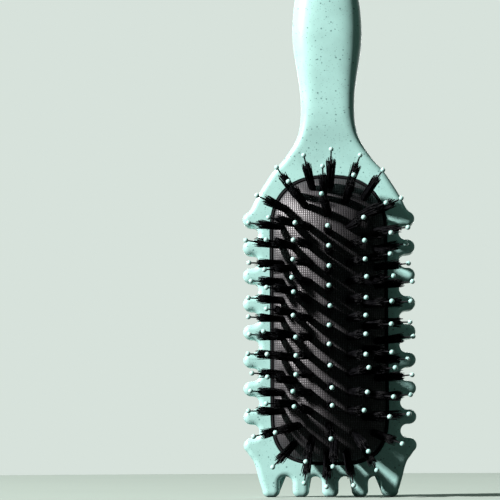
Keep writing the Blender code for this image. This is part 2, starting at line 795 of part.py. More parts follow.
def back_shell(finish):
    """The back moulding: convex back, back of the handle and of the teeth, and the posts."""
    made = add_mesh_part("back_shell", moulding_mesh("back_shell", 1), finish)
    boolean(made, bpy.data.objects["body_cavity"], "DIFFERENCE")
    posts = []
    for height in handle_post_heights():
        back = SEAM_PLACE + back_depth(height) - WALL / 2
        front = SEAM_PLACE - GAP / 2 - SOCKET_DEPTH + SOCKET_CLEARANCE
        posts.append((0.0, height, front, back, POST_RADIUS))
    for share in CLAMP_POST_SHARES:
        height = mix(OPENING_END, OPENING_TOP, share)
        back = SEAM_PLACE + back_depth(height) - WALL / 2
        for way in (-1, 1):
            posts.append((way * CLAMP_POST_ASIDE, height, TRAY_BACK + GAP, back, CLAMP_POST_RADIUS))
    boolean(made, add_cutter("shell_posts", posts_mesh("shell_posts", posts)), "UNION")
    return made


def hang_on_press(pieces):
    """Parents the sinking pieces to an empty on the press's axis."""
    press = bpy.data.objects.new("cushion_press", None)
    press.location = (0.0, RIM_PLACE, (OVAL_LOW + OVAL_HIGH) / 2)
    PARTS.objects.link(press)
    bpy.context.view_layer.update()
    for piece in pieces:
        piece.parent = press
        piece.matrix_parent_inverse = press.matrix_world.inverted()


def main():
    global PARTS, CUTTERS
    clear_scene()
    PARTS = new_collection("styling_brush")
    CUTTERS = new_collection("styling_brush_cutters")
    add_cutter("body_cavity", cavity_mesh())
    front_frame(MINT_PLASTIC)
    back_shell(MINT_PLASTIC)
    cushion_bezel(BLACK_PLASTIC)
    cushion_skirt(CUSHION_CLOTH)
    cushion_tray(BLACK_PLASTIC)
    hang_on_press(tufts(BLACK_BRISTLE))


if __name__ == "__main__":
    main()
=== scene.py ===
"""A cushioned styling brush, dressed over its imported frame, and the studio that it stands in.

Metres, +Z up the handle, -Y out of the bristle side. The origin is in the middle of the standing face.
"""

import math
import random

import bmesh
import bpy
from bpy.props import FloatProperty, FloatVectorProperty, IntProperty, PointerProperty
from mathutils import Matrix, Vector
from mathutils.kdtree import KDTree


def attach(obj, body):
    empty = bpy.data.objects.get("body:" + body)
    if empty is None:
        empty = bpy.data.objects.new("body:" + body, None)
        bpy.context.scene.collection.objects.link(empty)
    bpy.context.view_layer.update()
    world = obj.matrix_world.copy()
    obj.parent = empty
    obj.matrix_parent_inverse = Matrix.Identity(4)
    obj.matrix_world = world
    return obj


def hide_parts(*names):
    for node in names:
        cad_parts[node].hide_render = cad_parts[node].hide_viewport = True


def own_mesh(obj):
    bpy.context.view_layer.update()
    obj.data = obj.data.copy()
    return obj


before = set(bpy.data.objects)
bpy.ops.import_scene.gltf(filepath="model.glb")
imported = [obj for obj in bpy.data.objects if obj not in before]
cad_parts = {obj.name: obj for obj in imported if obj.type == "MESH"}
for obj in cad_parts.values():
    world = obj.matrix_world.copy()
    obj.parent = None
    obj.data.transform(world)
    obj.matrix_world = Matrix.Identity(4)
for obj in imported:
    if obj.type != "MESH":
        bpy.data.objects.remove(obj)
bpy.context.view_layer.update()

bl_info = {
    "name": "Cushioned styling brush",
    "version": (1, 0, 0),
    "blender": (4, 5, 0),
    "location": "3D View > Sidebar > Styling brush",
    "description": "Builds a cushioned styling brush piece by piece, with its finishes and a studio",
    "category": "Add Mesh",
}

# Teeth round the head
SIDE_TEETH = 9
SIDE_PITCH = 0.01216
SIDE_TOOTH_WIDTH = 0.0062
SIDE_TOOTH_REACH = 0.0068
FIRST_SIDE_RISE = 0.0132
LOWEST_TOOTH_START = -50.0
TOP_TOOTH_STOP = 45.0
END_TEETH = 5
END_TOOTH_WIDTH = 0.0070
END_TOOTH_LENGTH = 0.0088
END_CORNER_ROUND = 0.0027
END_SET_IN = 0.0015
CORNER_TOOTH_WIDER = 0.0003
END_ROUND_STEPS = 7
TIP_STEPS = 16
VALLEY_STEPS = 12
CORNER_STEPS = 5
SHOULDER_STEPS = 4

# Head and handle, seen from the front
HEAD_HALF_WIDTH = 0.0302
NECK_RISE = 0.0500
NECK_HALF_WIDTH = 0.0116
BULGE_RISE = 0.0317
BULGE_HALF_WIDTH = 0.0151
CAP_RISE = 0.0390
CAP_POWER = 2.0
NECK_STEPS = 12
CAP_STEPS = 20

# Points of the shoulder: share of the neck's rise, share of the way from the neck's width to the head's
SHOULDER_SHARES = (
    (0.069, 1.225), (0.177, 1.064), (0.290, 0.882), (0.425, 0.635), (0.500, 0.448),
    (0.586, 0.281), (0.650, 0.169), (0.724, 0.078), (0.824, 0.021), (1.000, 0.000),
)

# Points of the lowest corner: share of the way out to the head's side, share of the way up to a side tooth
CORNER_SHARES = ((0.82, 0.272), (1.154, 0.544), (1.436, 0.816), (1.692, 0.981), (2.128, 1.127))

# Depths, from the seam between the two mouldings
SEAM_PLACE = 0.0020
RIM_DEPTH = 0.0070
TOE_BACK = 0.0026
HEAD_BACK = 0.0102
NECK_DEPTH = 0.0092
BULGE_DEPTH = 0.0110
SPINE_HALF_WIDTH = 0.0100
BACK_ROUND_DEPTH_SHARE = 0.62
HANDLE_DEPTH_SHARE = 0.92
EDGE_SPREAD = 1.37
ROUND_POWER = 2.0
NECK_FACE_POWER = 4.5
BULGE_FACE_POWER = 3.0
FRONT_ANGLE_STEPS = 12
BACK_ANGLE_STEPS = 14
TOOTH_FADE_ANGLE = 58.0
SPREAD_SHARE = 0.15
BACK_RISE_SHARE = 0.60
WALL = 0.0022

# Opening, ring and cushion
RIM_WIDTH = 0.0050
TOE_RIM = 0.0047
OPENING_TOP_RISE = 0.01885
FLAT_ABOVE_OPENING = 0.0028
OVAL_TOP_POWER = 2.5
OVAL_END_POWER = 3.2
OVAL_SAMPLES = 800
OVAL_SIDE_STEPS = 110
OVAL_END_STEPS = 84
GAP = 0.0003
RING_GAP = 0.00025
BEZEL_WIDTH = 0.0007
BEZEL_PROUD = 0.0003
REBATE_CLEARANCE = 0.0005
OPENING_ROUND_STEPS = 4
LIP_STEPS = 8
CROWN = 0.0115
CROWN_FALL_SHARE = 0.92
SKIRT_WIDTH = 0.0012
SKIRT_WAIST = 0.0004
FLANGE_WIDTH = 0.0032
FLANGE_THICKNESS = 0.0012
CUSHION_STEPS = 42
SKIRT_STEPS = 5
SKIRT_BULGE_TURNS = 1.5
DIMPLE_FALL = 2.0

# Cloth simulation of the cushion
CLOTH_VOXEL = 0.0022
CLOTH_FRAMES = 16
CLOTH_PRESSURE = 5000.0
CLOTH_STIFFNESS = 25.0
CLOTH_NEIGHBOURS = 8
HELD_BORDER = 0.0014
HELD_ROOT = 0.0012
SWELL_CAP = 0.0006

# Tufts, bristles and pins
OUTER_TUFTS = 36
INNER_TUFTS = 26
SIDE_COLUMN_TUFTS = 11
MIDDLE_COLUMN_TUFTS = 12
OUTER_BAND_SHARE = 0.196
INNER_BAND_SHARE = 0.178
MIDDLE_BAND_SHARE = 0.72
BAND_GAP = 0.0009
END_SLICES_SHARE = 0.15
TUFT_VARIANTS = 5
TUFT_LEAN_DEGREES = 2.6
BRISTLE_SIDES = 3
BRISTLE_TAPER = 0.6
BRISTLE_BEND_SHARE = 0.02
PIN_SIDES = 8
PIN_TAPER = 0.75
STRAND_CUTS = (0.35, 0.70)
BRISTLE_SHIFT = 0.3
TIP_SPREAD = 0.15
SHORT_BRISTLES_SHARE = 0.15
SHORTEST_BRISTLE = 0.76
GOLDEN_ANGLE = math.pi * (3 - math.sqrt(5))
SHORT_BRISTLE = 0.91
BALL_SEGMENTS = 14
BALL_RINGS = 9
COLLAR_START_SHARE = 0.85
COLLAR_DRAW_SHARE = 0.25
SEED = 7

# Welding and shading
MERGE_DISTANCE = 0.00002
CREASE_DEGREES = 40.0

# Ranges that noise is stretched from
NOISE_SPAN = (0.3, 0.7)
SHINE_SPAN = (0.25, 0.75)

# Mint plastic. A grain is a scale to a metre, a detail and a roughness, and a relief a strength and a depth
MINT_CLOUDS = (85.0, 3.0, 0.55)
MINT_SHINE = (420.0, 4.0, 0.5)
MINT_SKIN = (1500.0, 3.0, 0.5)
MINT_WAVES = (160.0, 1.0, 0.5)
MINT_WAVE_STRENGTH = 3.0
MINT_RELIEF = (0.25, 0.00006)
MINT_PALE = 1.07
MINT_DEEP = 0.93
MINT_ROUGHNESS_CHANGES = (-0.04, 0.06)
MINT_SPECULAR = 0.6
BALL_CLOUDS = (130.0, 2.0, 0.5)
BALL_SHINE = (900.0, 2.0, 0.5)
BALL_ROUGHNESS = (0.18, 0.26)
BALL_PALE = 0.18

# Flakes of two sizes, each with its spacing, its radius and its strength
FLAKES = ((0.0020, 0.00042, 0.8), (0.0009, 0.00024, 0.4))
FLAKE_STRENGTH = 0.82
FLAKE_SIZES = (0.35, 1.0)
FLAKE_EDGE = (-0.02, 0.03)
FLAKE_RIPPLE = (2600.0, 2.0, 0.5)
FLAKE_SHIFT = (0.0003, 0.0003, 0.0003)

# Cloth
CLOTH_SLACK = (180.0, 2.0, 0.5)
CLOTH_FUZZ = (5200.0, 2.0, 0.5)
CLOTH_FUZZ_RISE = 0.15
CLOTH_RELIEF = (0.7, 0.00016)
# Painted shade: the share of the cloth's colour that is left in the gaps between the threads
CLOTH_GAP_SHADE = 0.08
CLOTH_WORN = 1.5
CLOTH_ROUGHNESS = (0.78, 0.43)
CLOTH_SHINE_SPAN = (0.2, 0.9)
CLOTH_TINT = (1.0, 0.97, 1.0, 1.0)
THREAD_POWER = 0.7
# Painted shade between the threads gives way to the threads' own colour over this span of thread height
THREAD_SHADE_SPAN = (0.35, 0.85)
WEFT_SHARE = 0.96
WEFT_RISE = 0.6

# Black nylon and black plastic
NYLON_PATCHES = (700.0, 2.0, 0.5)
NYLON_DUST_SPAN = (0.35, 0.75)
NYLON_DUSTY = 2.2
NYLON_ROUGHNESS = (0.42, 0.60)
TRIM_GRAIN = (2400.0, 3.0, 0.5)
TRIM_RELIEF = (0.3, 0.00005)
TRIM_PALE = 1.6
TRIM_ROUGHNESS = (0.72, 0.84)
BLACK_SPECULAR = 0.12

# Lamps and floor. Angles are in degrees, with azimuth 0 in front of the brush and -90 at its left
LAMP_AIM = 0.09
LAMP_DISTANCE = 6.0
LAMP_COLOUR = (1.0, 0.985, 0.965)
KEY_AZIMUTH = -60.0
KEY_ELEVATION = 29.0
BACK_AZIMUTH = 180.0
BACK_ELEVATION = 15.0
BACK_LAMP_SIZE = 3.0
FILL_COLOUR = (0.62, 1.0, 0.85, 1.0)
FLOOR_BOUNCE = 0.08
FLOOR_RADIUS = 1.0
FLOOR_THICKNESS = 0.02
FLOOR_SIDES = 160
FLOOR_CLOUDS = (9.0, 4.0, 0.5)
FLOOR_PALE = 1.05
FLOOR_ROUGHNESS = 0.9
FLOOR_MIRRORED_FROM = (0.0, 0.1)
WALL_MIRRORED_FROM = (0.35, 0.8)

# Camera: angles in degrees, sensor in millimetres
CAMERA_PLACE = (0.0, -1.0, 0.020)
CAMERA_RISE = 4.938
CAMERA_TURN = 1.950
CAMERA_ROLL = 0.25
SENSOR_WIDTH = 36.0
CLIP_START = 0.01

# Worked out from the values above
END_PITCH = (HEAD_HALF_WIDTH - END_SET_IN - END_TOOTH_WIDTH / 2) / (END_TEETH // 2)
TOP_TOOTH = END_TOOTH_LENGTH + FIRST_SIDE_RISE + SIDE_PITCH * (SIDE_TEETH - 1)
NECK_HEIGHT = TOP_TOOTH + NECK_RISE
BULGE_HEIGHT = NECK_HEIGHT + BULGE_RISE
RIM_PLACE = SEAM_PLACE - RIM_DEPTH
OPENING_REACH = HEAD_HALF_WIDTH - RIM_WIDTH
OPENING_END = END_TOOTH_LENGTH + TOE_RIM
OPENING_TOP = TOP_TOOTH + OPENING_TOP_RISE
OVAL_LOW = OPENING_END + OPENING_REACH
OVAL_HIGH = OPENING_TOP - OPENING_REACH
FLAT_TOP = OPENING_TOP + FLAT_ABOVE_OPENING
BEZEL_REACH = OPENING_REACH - RING_GAP
CUSHION_REACH = BEZEL_REACH - BEZEL_WIDTH - RING_GAP
FLANGE_REACH = CUSHION_REACH + FLANGE_WIDTH
CROWN_REACH = CUSHION_REACH - SKIRT_WIDTH - GAP
SKIRT_REACH = CUSHION_REACH - SKIRT_WIDTH / 2
OUTER_BAND = CROWN_REACH * OUTER_BAND_SHARE
INNER_BAND = CROWN_REACH * INNER_BAND_SHARE
INNER_BAND_REACH = CROWN_REACH - OUTER_BAND - BAND_GAP
CENTRE_REACH = INNER_BAND_REACH - INNER_BAND - BAND_GAP
FLANGE_FRONT = RIM_PLACE + WALL + GAP
FLANGE_BACK = FLANGE_FRONT + FLANGE_THICKNESS


# Settings that a user would change


def length_setting(name, description, default, low, high):
    """A length in metres, with its least and its most."""
    return FloatProperty(
        name=name, description=description, default=default, min=low, max=high,
        unit="LENGTH", subtype="DISTANCE",
    )


def colour_setting(name, description, default):
    """A colour as red, green and blue shares of light."""
    return FloatVectorProperty(
        name=name, description=description, default=default, min=0.0, max=1.0, size=3, subtype="COLOR",
    )


class BrushSizes(bpy.types.PropertyGroup):
    edge_round: length_setting(
        "Edge rounding", "Radius of the edge round the front face",
        default=0.0019, low=0.0005, high=0.0020,
    )
    opening_round: length_setting(
        "Opening rounding", "Radius of the edge round the cushion's opening",
        default=0.0004, low=0.0001, high=0.0010,
    )
    seam_groove: length_setting(
        "Seam groove", "Depth of the fine groove where the two mouldings meet",
        default=0.00018, low=0.0, high=0.0005,
    )
    dimple: length_setting(
        "Dimple", "How deep the cushion is drawn in round the root of a tuft",
        default=0.00045, low=0.0, high=0.0010,
    )
    dimple_radius: length_setting(
        "Dimple radius", "How far a dimple reaches from the middle of its tuft",
        default=0.0021, low=0.0010, high=0.0040,
    )
    bristles: IntProperty(
        name="Bristles", description="Bristles in a tuft, without its pin",
        default=90, min=12, max=140,
    )
    bristle_length: length_setting(
        "Bristle length", "Length of the longest bristles out of the cushion",
        default=0.0166, low=0.0100, high=0.0200,
    )
    bristle_radius: length_setting(
        "Bristle radius", "Radius of a bristle at its root",
        default=0.00019, low=0.00005, high=0.0003,
    )
    tuft_root: length_setting(
        "Tuft root", "Radius of a tuft where it leaves the cushion",
        default=0.00145, low=0.0005, high=0.0020,
    )
    tuft_tip: length_setting(
        "Tuft tip", "Radius of a tuft at its tips",
        default=0.00195, low=0.0008, high=0.0030,
    )
    pin_length: length_setting(
        "Pin length", "Length of a pin with its ball",
        default=0.0235, low=0.0180, high=0.0250,
    )
    pin_radius: length_setting(
        "Pin radius", "Radius of a pin at its root",
        default=0.00042, low=0.0002, high=0.0006,
    )
    ball_radius: length_setting(
        "Ball radius", "Radius of the ball at the tip of a pin",
        default=0.00105, low=0.0006, high=0.0015,
    )


class BrushFinishes(bpy.types.PropertyGroup):
    mint: colour_setting(
        "Plastic", "Colour of the mouldings and the ball tips",
        default=(0.408, 0.690, 0.645),
    )
    flake: colour_setting("Flakes", "Colour of the flakes in the plastic", default=(0.045, 0.125, 0.125))
    mint_roughness: FloatProperty(
        name="Plastic roughness", description="Roughness of the mouldings",
        default=0.33, min=0.0, max=1.0, subtype="FACTOR",
    )
    cloth: colour_setting(
        "Cloth", "Colour of the threads of the cushion's cloth",
        default=(0.026, 0.0243, 0.0283),
    )
    weave: length_setting(
        "Weave", "Distance between two threads of the cloth",
        default=0.00104, low=0.0003, high=0.0030,
    )
    nylon: colour_setting("Bristles", "Colour of the bristles and pins", default=(0.004, 0.004, 0.005))
    trim: colour_setting(
        "Black plastic", "Colour of the ring and of the plate behind the cushion",
        default=(0.008, 0.008, 0.009),
    )


class BrushStudio(bpy.types.PropertyGroup):
    key_power: FloatProperty(
        name="Key light", description="Power of the lamp at the left",
        default=880.0, min=0.0, unit="POWER",
    )
    key_size: length_setting("Key size", "Side of the lamp at the left", default=0.40, low=0.05, high=3.0)
    back_power: FloatProperty(
        name="Back light", description="Power of the wide lamp behind",
        default=130.0, min=0.0, unit="POWER",
    )
    fill: FloatProperty(
        name="Fill", description="Strength of the even light from all round",
        default=0.090, min=0.0, max=1.0, subtype="FACTOR",
    )
    wall: colour_setting("Background", "Colour behind the floor", default=(0.680, 0.760, 0.710))
    floor: colour_setting("Floor", "Colour of the floor", default=(0.410, 0.476, 0.434))
    lens: FloatProperty(
        name="Lens", description="Focal length of the camera in millimetres",
        default=167.0, min=20.0, unit="CAMERA",
    )


# Curves and outlines


def smoothstep(low, high, value):
    share = min(max((value - low) / (high - low), 0.0), 1.0)
    return share * share * (3.0 - 2.0 * share)


def mix(first, second, share):
    return first + (second - first) * share


def arc(centre, radius, start, stop, steps):
    """Points on an arc in the X-Z plane, its angles in degrees from +X towards +Z."""
    points = []
    for step in range(steps + 1):
        angle = math.radians(mix(start, stop, step / steps))
        points.append(Vector((centre[0] + radius * math.cos(angle), centre[1] + radius * math.sin(angle))))
    return points


def tangent(before, place, after):
    """The direction of a smooth curve through a point, mostly that of its shorter side."""
    arriving = place - before
    leaving = after - place
    whole = arriving.length + leaving.length
    return (arriving.normalized() * leaving.length + leaving.normalized() * arriving.length) / whole


def curve_through(points, steps):
    """A smooth curve from the second point to the last but one. The end points only give it direction."""
    curve = []
    for index in range(1, len(points) - 2):
        start, stop = points[index], points[index + 1]
        span = (stop - start).length
        leave = tangent(points[index - 1], start, stop) * span
        arrive = tangent(start, stop, points[index + 2]) * span
        for step in range(steps):
            share = step / steps
            eased = smoothstep(0, 1, share)
            pull = share * (1 - share)
            curve.append(start.lerp(stop, eased) + leave * pull * (1 - share) - arrive * pull * share)
    return curve + [points[-2]]


def end_tooth_outline():
    """Right half of the row of end teeth, from the middle tooth's tip to the corner tooth's tip."""
    flat = END_TOOTH_WIDTH / 2 - END_CORNER_ROUND
    arch = (END_PITCH - END_TOOTH_WIDTH) / 2
    points = []
    for tooth in range((END_TEETH + 1) // 2):
        middle = tooth * END_PITCH
        if tooth:
            left = (middle - flat, END_CORNER_ROUND)
            points += arc(left, END_CORNER_ROUND, 180, 270, END_ROUND_STEPS)
        if tooth < END_TEETH // 2:
            right = (middle + flat, END_CORNER_ROUND)
            points += arc(right, END_CORNER_ROUND, 270, 360, END_ROUND_STEPS)
            slot_top = (middle + END_PITCH / 2, END_TOOTH_LENGTH - arch)
            points += arc(slot_top, arch, 180, 0, VALLEY_STEPS)
    return points


def side_tooth_outline():
    """The row of side teeth from the lowest tooth's tip to the top one's."""
    half = SIDE_TOOTH_WIDTH / 2
    valley = (SIDE_PITCH - SIDE_TOOTH_WIDTH) / 2
    points = []
    for tooth in range(SIDE_TEETH):
        height = END_TOOTH_LENGTH + FIRST_SIDE_RISE + tooth * SIDE_PITCH
        tip = (HEAD_HALF_WIDTH + SIDE_TOOTH_REACH - half, height)
        first = -90 if tooth else LOWEST_TOOTH_START
        if tooth < SIDE_TEETH - 1:
            points += arc(tip, half, first, 90, TIP_STEPS)
            gap_middle = (HEAD_HALF_WIDTH + valley, height + SIDE_PITCH / 2)
            points += arc(gap_middle, valley, 270, 90, VALLEY_STEPS)
        else:
            points += arc(tip, half, first, TOP_TOOTH_STOP, TIP_STEPS)
    return points


def corner_outline(after):
    """From the corner tooth's tip up to the lowest side tooth. After is that tooth's first two points."""
    start = (END_TEETH // 2) * END_PITCH + END_TOOTH_WIDTH / 2 - END_CORNER_ROUND + CORNER_TOOTH_WIDER
    width = HEAD_HALF_WIDTH - start
    height = END_TOOTH_LENGTH + FIRST_SIDE_RISE - SIDE_TOOTH_WIDTH
    rounded = arc((start, END_CORNER_ROUND), END_CORNER_ROUND, 270, 360, END_ROUND_STEPS)
    knots = [Vector((start + width * across, height * up)) for across, up in CORNER_SHARES]
    curve = curve_through(rounded[-2:] + knots + after, CORNER_STEPS)
    return rounded[:-1] + curve[:-1]


def upper_outline(before):
    """Shoulder, neck, bulge and rounded end of the handle. Before is the top tooth's last two points."""
    knots = [
        Vector((mix(NECK_HALF_WIDTH, HEAD_HALF_WIDTH, across), TOP_TOOTH + NECK_RISE * up))
        for up, across in SHOULDER_SHARES
    ]
    points = []
    for step in range(1, NECK_STEPS + 1):
        share = step / NECK_STEPS
        width = mix(NECK_HALF_WIDTH, BULGE_HALF_WIDTH, smoothstep(0, 1, share))
        points.append(Vector((width, NECK_HEIGHT + BULGE_RISE * share)))
    for step in range(1, CAP_STEPS):
        share = math.sin(math.pi / 2 * step / CAP_STEPS)
        width = BULGE_HALF_WIDTH * math.sqrt(1 - share**CAP_POWER)
        points.append(Vector((width, BULGE_HEIGHT + CAP_RISE * share)))
    return curve_through(before + knots + points[:1], SHOULDER_STEPS)[1:] + points


def body_outline():
    """(edge, core) points of the right half, from the end teeth to the handle's end.

    The core is the same point held inside the body without teeth, and spread so that no two of them meet.
    """
    sides = side_tooth_outline()
    ends = end_tooth_outline() + corner_outline(sides[:2])
    pairs = []
    for index, point in enumerate(ends):
        even = HEAD_HALF_WIDTH * (index + 1) / (len(ends) + 1)
        held = mix(min(point.x, HEAD_HALF_WIDTH), even, SPREAD_SHARE)
        pairs.append((point, Vector((held, max(point.y, END_TOOTH_LENGTH)))))
    for index, point in enumerate(sides):
        even = mix(sides[0].y, sides[-1].y, index / (len(sides) - 1))
        pairs.append((point, Vector((HEAD_HALF_WIDTH, mix(point.y, even, SPREAD_SHARE)))))
    for point in upper_outline(sides[-2:]):
        pairs.append((point, Vector((min(point.x, HEAD_HALF_WIDTH), point.y))))
    return pairs


def full_loop(right, top):
    """A right half, from the end upwards, its top point and its mirrored left half."""
    return right + [top] + [Vector((-point.x, point.y)) for point in reversed(right)]


def outward_normals(loop):
    normals = []
    for index, place in enumerate(loop):
        way = tangent(loop[index - 1], place, loop[(index + 1) % len(loop)])
        normals.append(Vector((way.y, -way.x)).normalized())
    return normals


def handle_share(height):
    """0 on the flat head, 1 on the round handle."""
    return smoothstep(FLAT_TOP, NECK_HEIGHT, height)


def spine_of(point, half_width):
    """The nearest point of the body's spine, a strip in the head that narrows to a line in the handle."""
    half = half_width * (1 - handle_share(point.y))
    return Vector((min(max(point.x, -half), half), min(max(point.y, OVAL_LOW), BULGE_HEIGHT)))


def along_handle(height, foot, head, neck, bulge):
    """A size that goes smoothly from the head's, up to foot, to the neck's and the bulge's."""
    if height <= NECK_HEIGHT:
        return mix(head, neck, smoothstep(foot, NECK_HEIGHT, height))
    return mix(neck, bulge, smoothstep(NECK_HEIGHT, BULGE_HEIGHT, height))


def front_depth(height):
    return along_handle(height, FLAT_TOP, RIM_DEPTH, NECK_DEPTH, BULGE_DEPTH)


def back_depth(height):
    middle = mix(END_TOOTH_LENGTH, TOP_TOOTH, BACK_RISE_SHARE)
    if height < middle:
        return mix(TOE_BACK, HEAD_BACK, math.sin(math.pi / 2 * max(height, 0.0) / middle))
    return along_handle(height, middle, HEAD_BACK, NECK_DEPTH, BULGE_DEPTH)


def seam_ring(edge, normals, inset, place):
    """The outline on a plane beside the seam, drawn in by inset."""
    ring = []
    for point, way in zip(edge, normals):
        ring.append(Vector((point.x - way.x * inset, place, point.y - way.y * inset)))
    return ring


def seam_rings(edge, normals, groove, way):
    """The groove beside the seam, in front of it where way is -1 and behind it where way is 1."""
    start = SEAM_PLACE + way * GAP / 2
    return [seam_ring(edge, normals, groove, start), seam_ring(edge, normals, 0.0, start + way * groove)]


def front_power(height):
    """2 where the section is round. More is a flatter face with tighter corners, as on the handle."""
    return along_handle(height, FLAT_TOP, ROUND_POWER, NECK_FACE_POWER, BULGE_FACE_POWER)


def quarter_turn(steps):
    """Angles from 0 to 90 degrees."""
    return [90 * step / steps for step in range(steps + 1)]


def front_ring(edge, normals, angle, edge_round):
    """One ring of the front, between the side wall at 0 degrees and the face at 90."""
    ring = []
    turn = math.radians(angle)
    for place, normal in zip(edge, normals):
        spine = spine_of(place, SPINE_HALF_WIDTH)
        handle = handle_share(place.y)
        way = normal.lerp((place - spine).normalized(), handle).normalized()
        widest = (place - spine).length
        curve = 2 / front_power(place.y)
        inset = mix(min(edge_round * EDGE_SPREAD, widest), widest, handle)
        place = place - way * inset * (1 - math.cos(turn) ** curve)
        depth = front_depth(place.y)
        depth -= mix(edge_round, depth * HANDLE_DEPTH_SHARE, handle) * (1 - math.sin(turn) ** curve)
        ring.append(Vector((place.x, SEAM_PLACE - depth, place.y)))
    return ring


def back_ring(edge, core, angle):
    """One ring of the back. The teeth fade into the convex shell on the way to its middle line."""
    ring = []
    turn = math.radians(angle)
    fade = smoothstep(TOOTH_FADE_ANGLE, 0.0, angle)
    for outer, inner in zip(edge, core):
        place = inner.lerp(outer, fade)
        spine = spine_of(place, 0.0)
        handle = handle_share(place.y)
        place = place - (place - spine) * (1 - math.cos(turn))
        depth = back_depth(place.y)
        fall = mix(depth * BACK_ROUND_DEPTH_SHARE, depth * HANDLE_DEPTH_SHARE, handle)
        depth -= fall * (1 - math.sin(turn))
        ring.append(Vector((place.x, SEAM_PLACE + depth, place.y)))
    return ring


def oval_point(reach, turn):
    """A point of the cushion's oval. Each whole turn is a stretch: right side, top, left side, end."""
    turn = turn % 4
    side = int(turn)
    share = turn - side
    if side == 0:
        return Vector((reach, mix(OVAL_LOW, OVAL_HIGH, share)))
    if side == 2:
        return Vector((-reach, mix(OVAL_HIGH, OVAL_LOW, share)))
    power, base, way = (OVAL_TOP_POWER, OVAL_HIGH, 1) if side == 1 else (OVAL_END_POWER, OVAL_LOW, -1)
    angle = math.pi * share
    across = math.copysign(abs(math.cos(angle)) ** (2 / power), math.cos(angle)) * way
    return Vector((reach * across, base + way * reach * abs(math.sin(angle)) ** (2 / power)))


def even_turns(reach, first, last, count):
    """Turns that cut a stretch of the oval of that reach into count parts of one length, without the last."""
    samples = round(OVAL_SAMPLES * (last - first) / 4)
    fine = [mix(first, last, step / samples) for step in range(samples + 1)]
    lengths = [0.0]
    for before, after in zip(fine, fine[1:]):
        lengths.append(lengths[-1] + (oval_point(reach, after) - oval_point(reach, before)).length)
    turns = []
    for index in range(count):
        wanted = index / count * lengths[-1]
        nearest = min(range(len(fine)), key=lambda place: abs(lengths[place] - wanted))
        turns.append(fine[nearest])
    return turns


def loop_turns():
    """Turns of a whole loop round the oval, the same on its left and its right."""
    turns = []
    for stretch in range(4):
        count = OVAL_END_STEPS if stretch % 2 else OVAL_SIDE_STEPS
        half = even_turns(OPENING_REACH, stretch, stretch + 1, 2 * (count // 2))[: count // 2 + 1]
        turns += half + [2 * stretch + 1 - turn for turn in reversed(half[1:-1])]
    return turns


def oval_loop(turns, reach, place):
    points = [oval_point(reach, turn) for turn in turns]
    return [Vector((point.x, place, point.y)) for point in points]


def crown_share(point):
    """0 on the middle line, 1 on the cushion's edge."""
    over = max(point.y - OVAL_HIGH, OVAL_LOW - point.y, 0.0)
    power = OVAL_TOP_POWER if point.y > OVAL_HIGH else OVAL_END_POWER
    return ((abs(point.x) / CUSHION_REACH) ** power + (over / CUSHION_REACH) ** power) ** (1 / power)


def crown_place(point):
    """Where the cushion's skin stands over a point of the rim plane."""
    return RIM_PLACE - CROWN * (1 - CROWN_FALL_SHARE * crown_share(point) ** 2)


def crown_normal(point):
    """The direction square to the cushion's skin, out of it."""
    slopes = []
    for step in (Vector((GAP, 0)), Vector((0, GAP))):
        slopes.append((crown_place(point + step) - crown_place(point - step)) / (2 * GAP))
    return Vector((slopes[0], -1.0, slopes[1])).normalized()


# Where the tufts stand


def ring_tufts(prefix, outer_reach, width, count):
    """Slice names of one ring of tufts, each with its tufts' places on the rim plane."""
    turns = even_turns(outer_reach - width / 2, 0, 4, count)
    ends = int(count * END_SLICES_SHARE)
    side = (count - 2 * ends) // 4
    plan = (
        ("right_lower", side),
        ("right_upper", side),
        ("top", ends),
        ("left_upper", side),
        ("left_lower", side),
        ("end", count - ends - 4 * side),
    )
    made = {}
    start = 0
    for place, cells in plan:
        middles = []
        for cell in range(start, start + cells):
            corners = [
                oval_point(reach, turns[index % count])
                for reach in (outer_reach, outer_reach - width)
                for index in (cell, cell + 1)
            ]
            middles.append(sum(corners, Vector((0.0, 0.0))) / len(corners))
        made[f"{prefix}_{place}"] = middles
        start += cells
    return made


def centre_limit(across, top):
    """How high or low the centre of the crown reaches at a distance from the middle line."""
    power = OVAL_TOP_POWER if top else OVAL_END_POWER
    rise = CENTRE_REACH * max(1 - (abs(across) / CENTRE_REACH) ** power, 0.0) ** (1 / power)
    return OVAL_HIGH + rise if top else OVAL_LOW - rise


def column_tufts(name, near, far, count):
    """Slice names of a column of tufts between two distances from the middle line, with the places."""
    middles = []
    for cell in range(count):
        total = Vector((0.0, 0.0))
        for across in (near, far):
            low = centre_limit(across, False)
            high = centre_limit(across, True)
            for step in (cell, cell + 1):
                total += Vector((across, mix(low, high, step / count))) / 4
        middles.append(total)
    return {f"{name}_lower": middles[: count // 2], f"{name}_upper": middles[count // 2 :]}


def tuft_places():
    """All slices of tufts, by the name of the node that each one dresses."""
    half = CENTRE_REACH * MIDDLE_BAND_SHARE / 2
    sides = (half + GAP, CENTRE_REACH)
    made = ring_tufts("outer_tufts", CROWN_REACH, OUTER_BAND, OUTER_TUFTS)
    made |= ring_tufts("inner_tufts", INNER_BAND_REACH, INNER_BAND, INNER_TUFTS)
    made |= column_tufts("centre_tufts_middle", -half, half, MIDDLE_COLUMN_TUFTS)
    for side, way in (("left", -1), ("right", 1)):
        near, far = (way * reach for reach in sides)
        made |= column_tufts(f"centre_tufts_{side}", near, far, SIDE_COLUMN_TUFTS)
    return made


# Modelling


def deselect_all():
    if bpy.context.object and bpy.context.object.mode != "OBJECT":
        bpy.ops.object.mode_set(mode="OBJECT")
    bpy.ops.object.select_all(action="DESELECT")


def named(name):
    """The object that was just added, by its new name."""
    made = bpy.context.object
    made.name = name
    made.data.name = name
    return made


def smoothed():
    """Leaves edit mode and smooths the active object's faces."""
    bpy.ops.object.mode_set(mode="OBJECT")
    bpy.ops.object.shade_smooth()


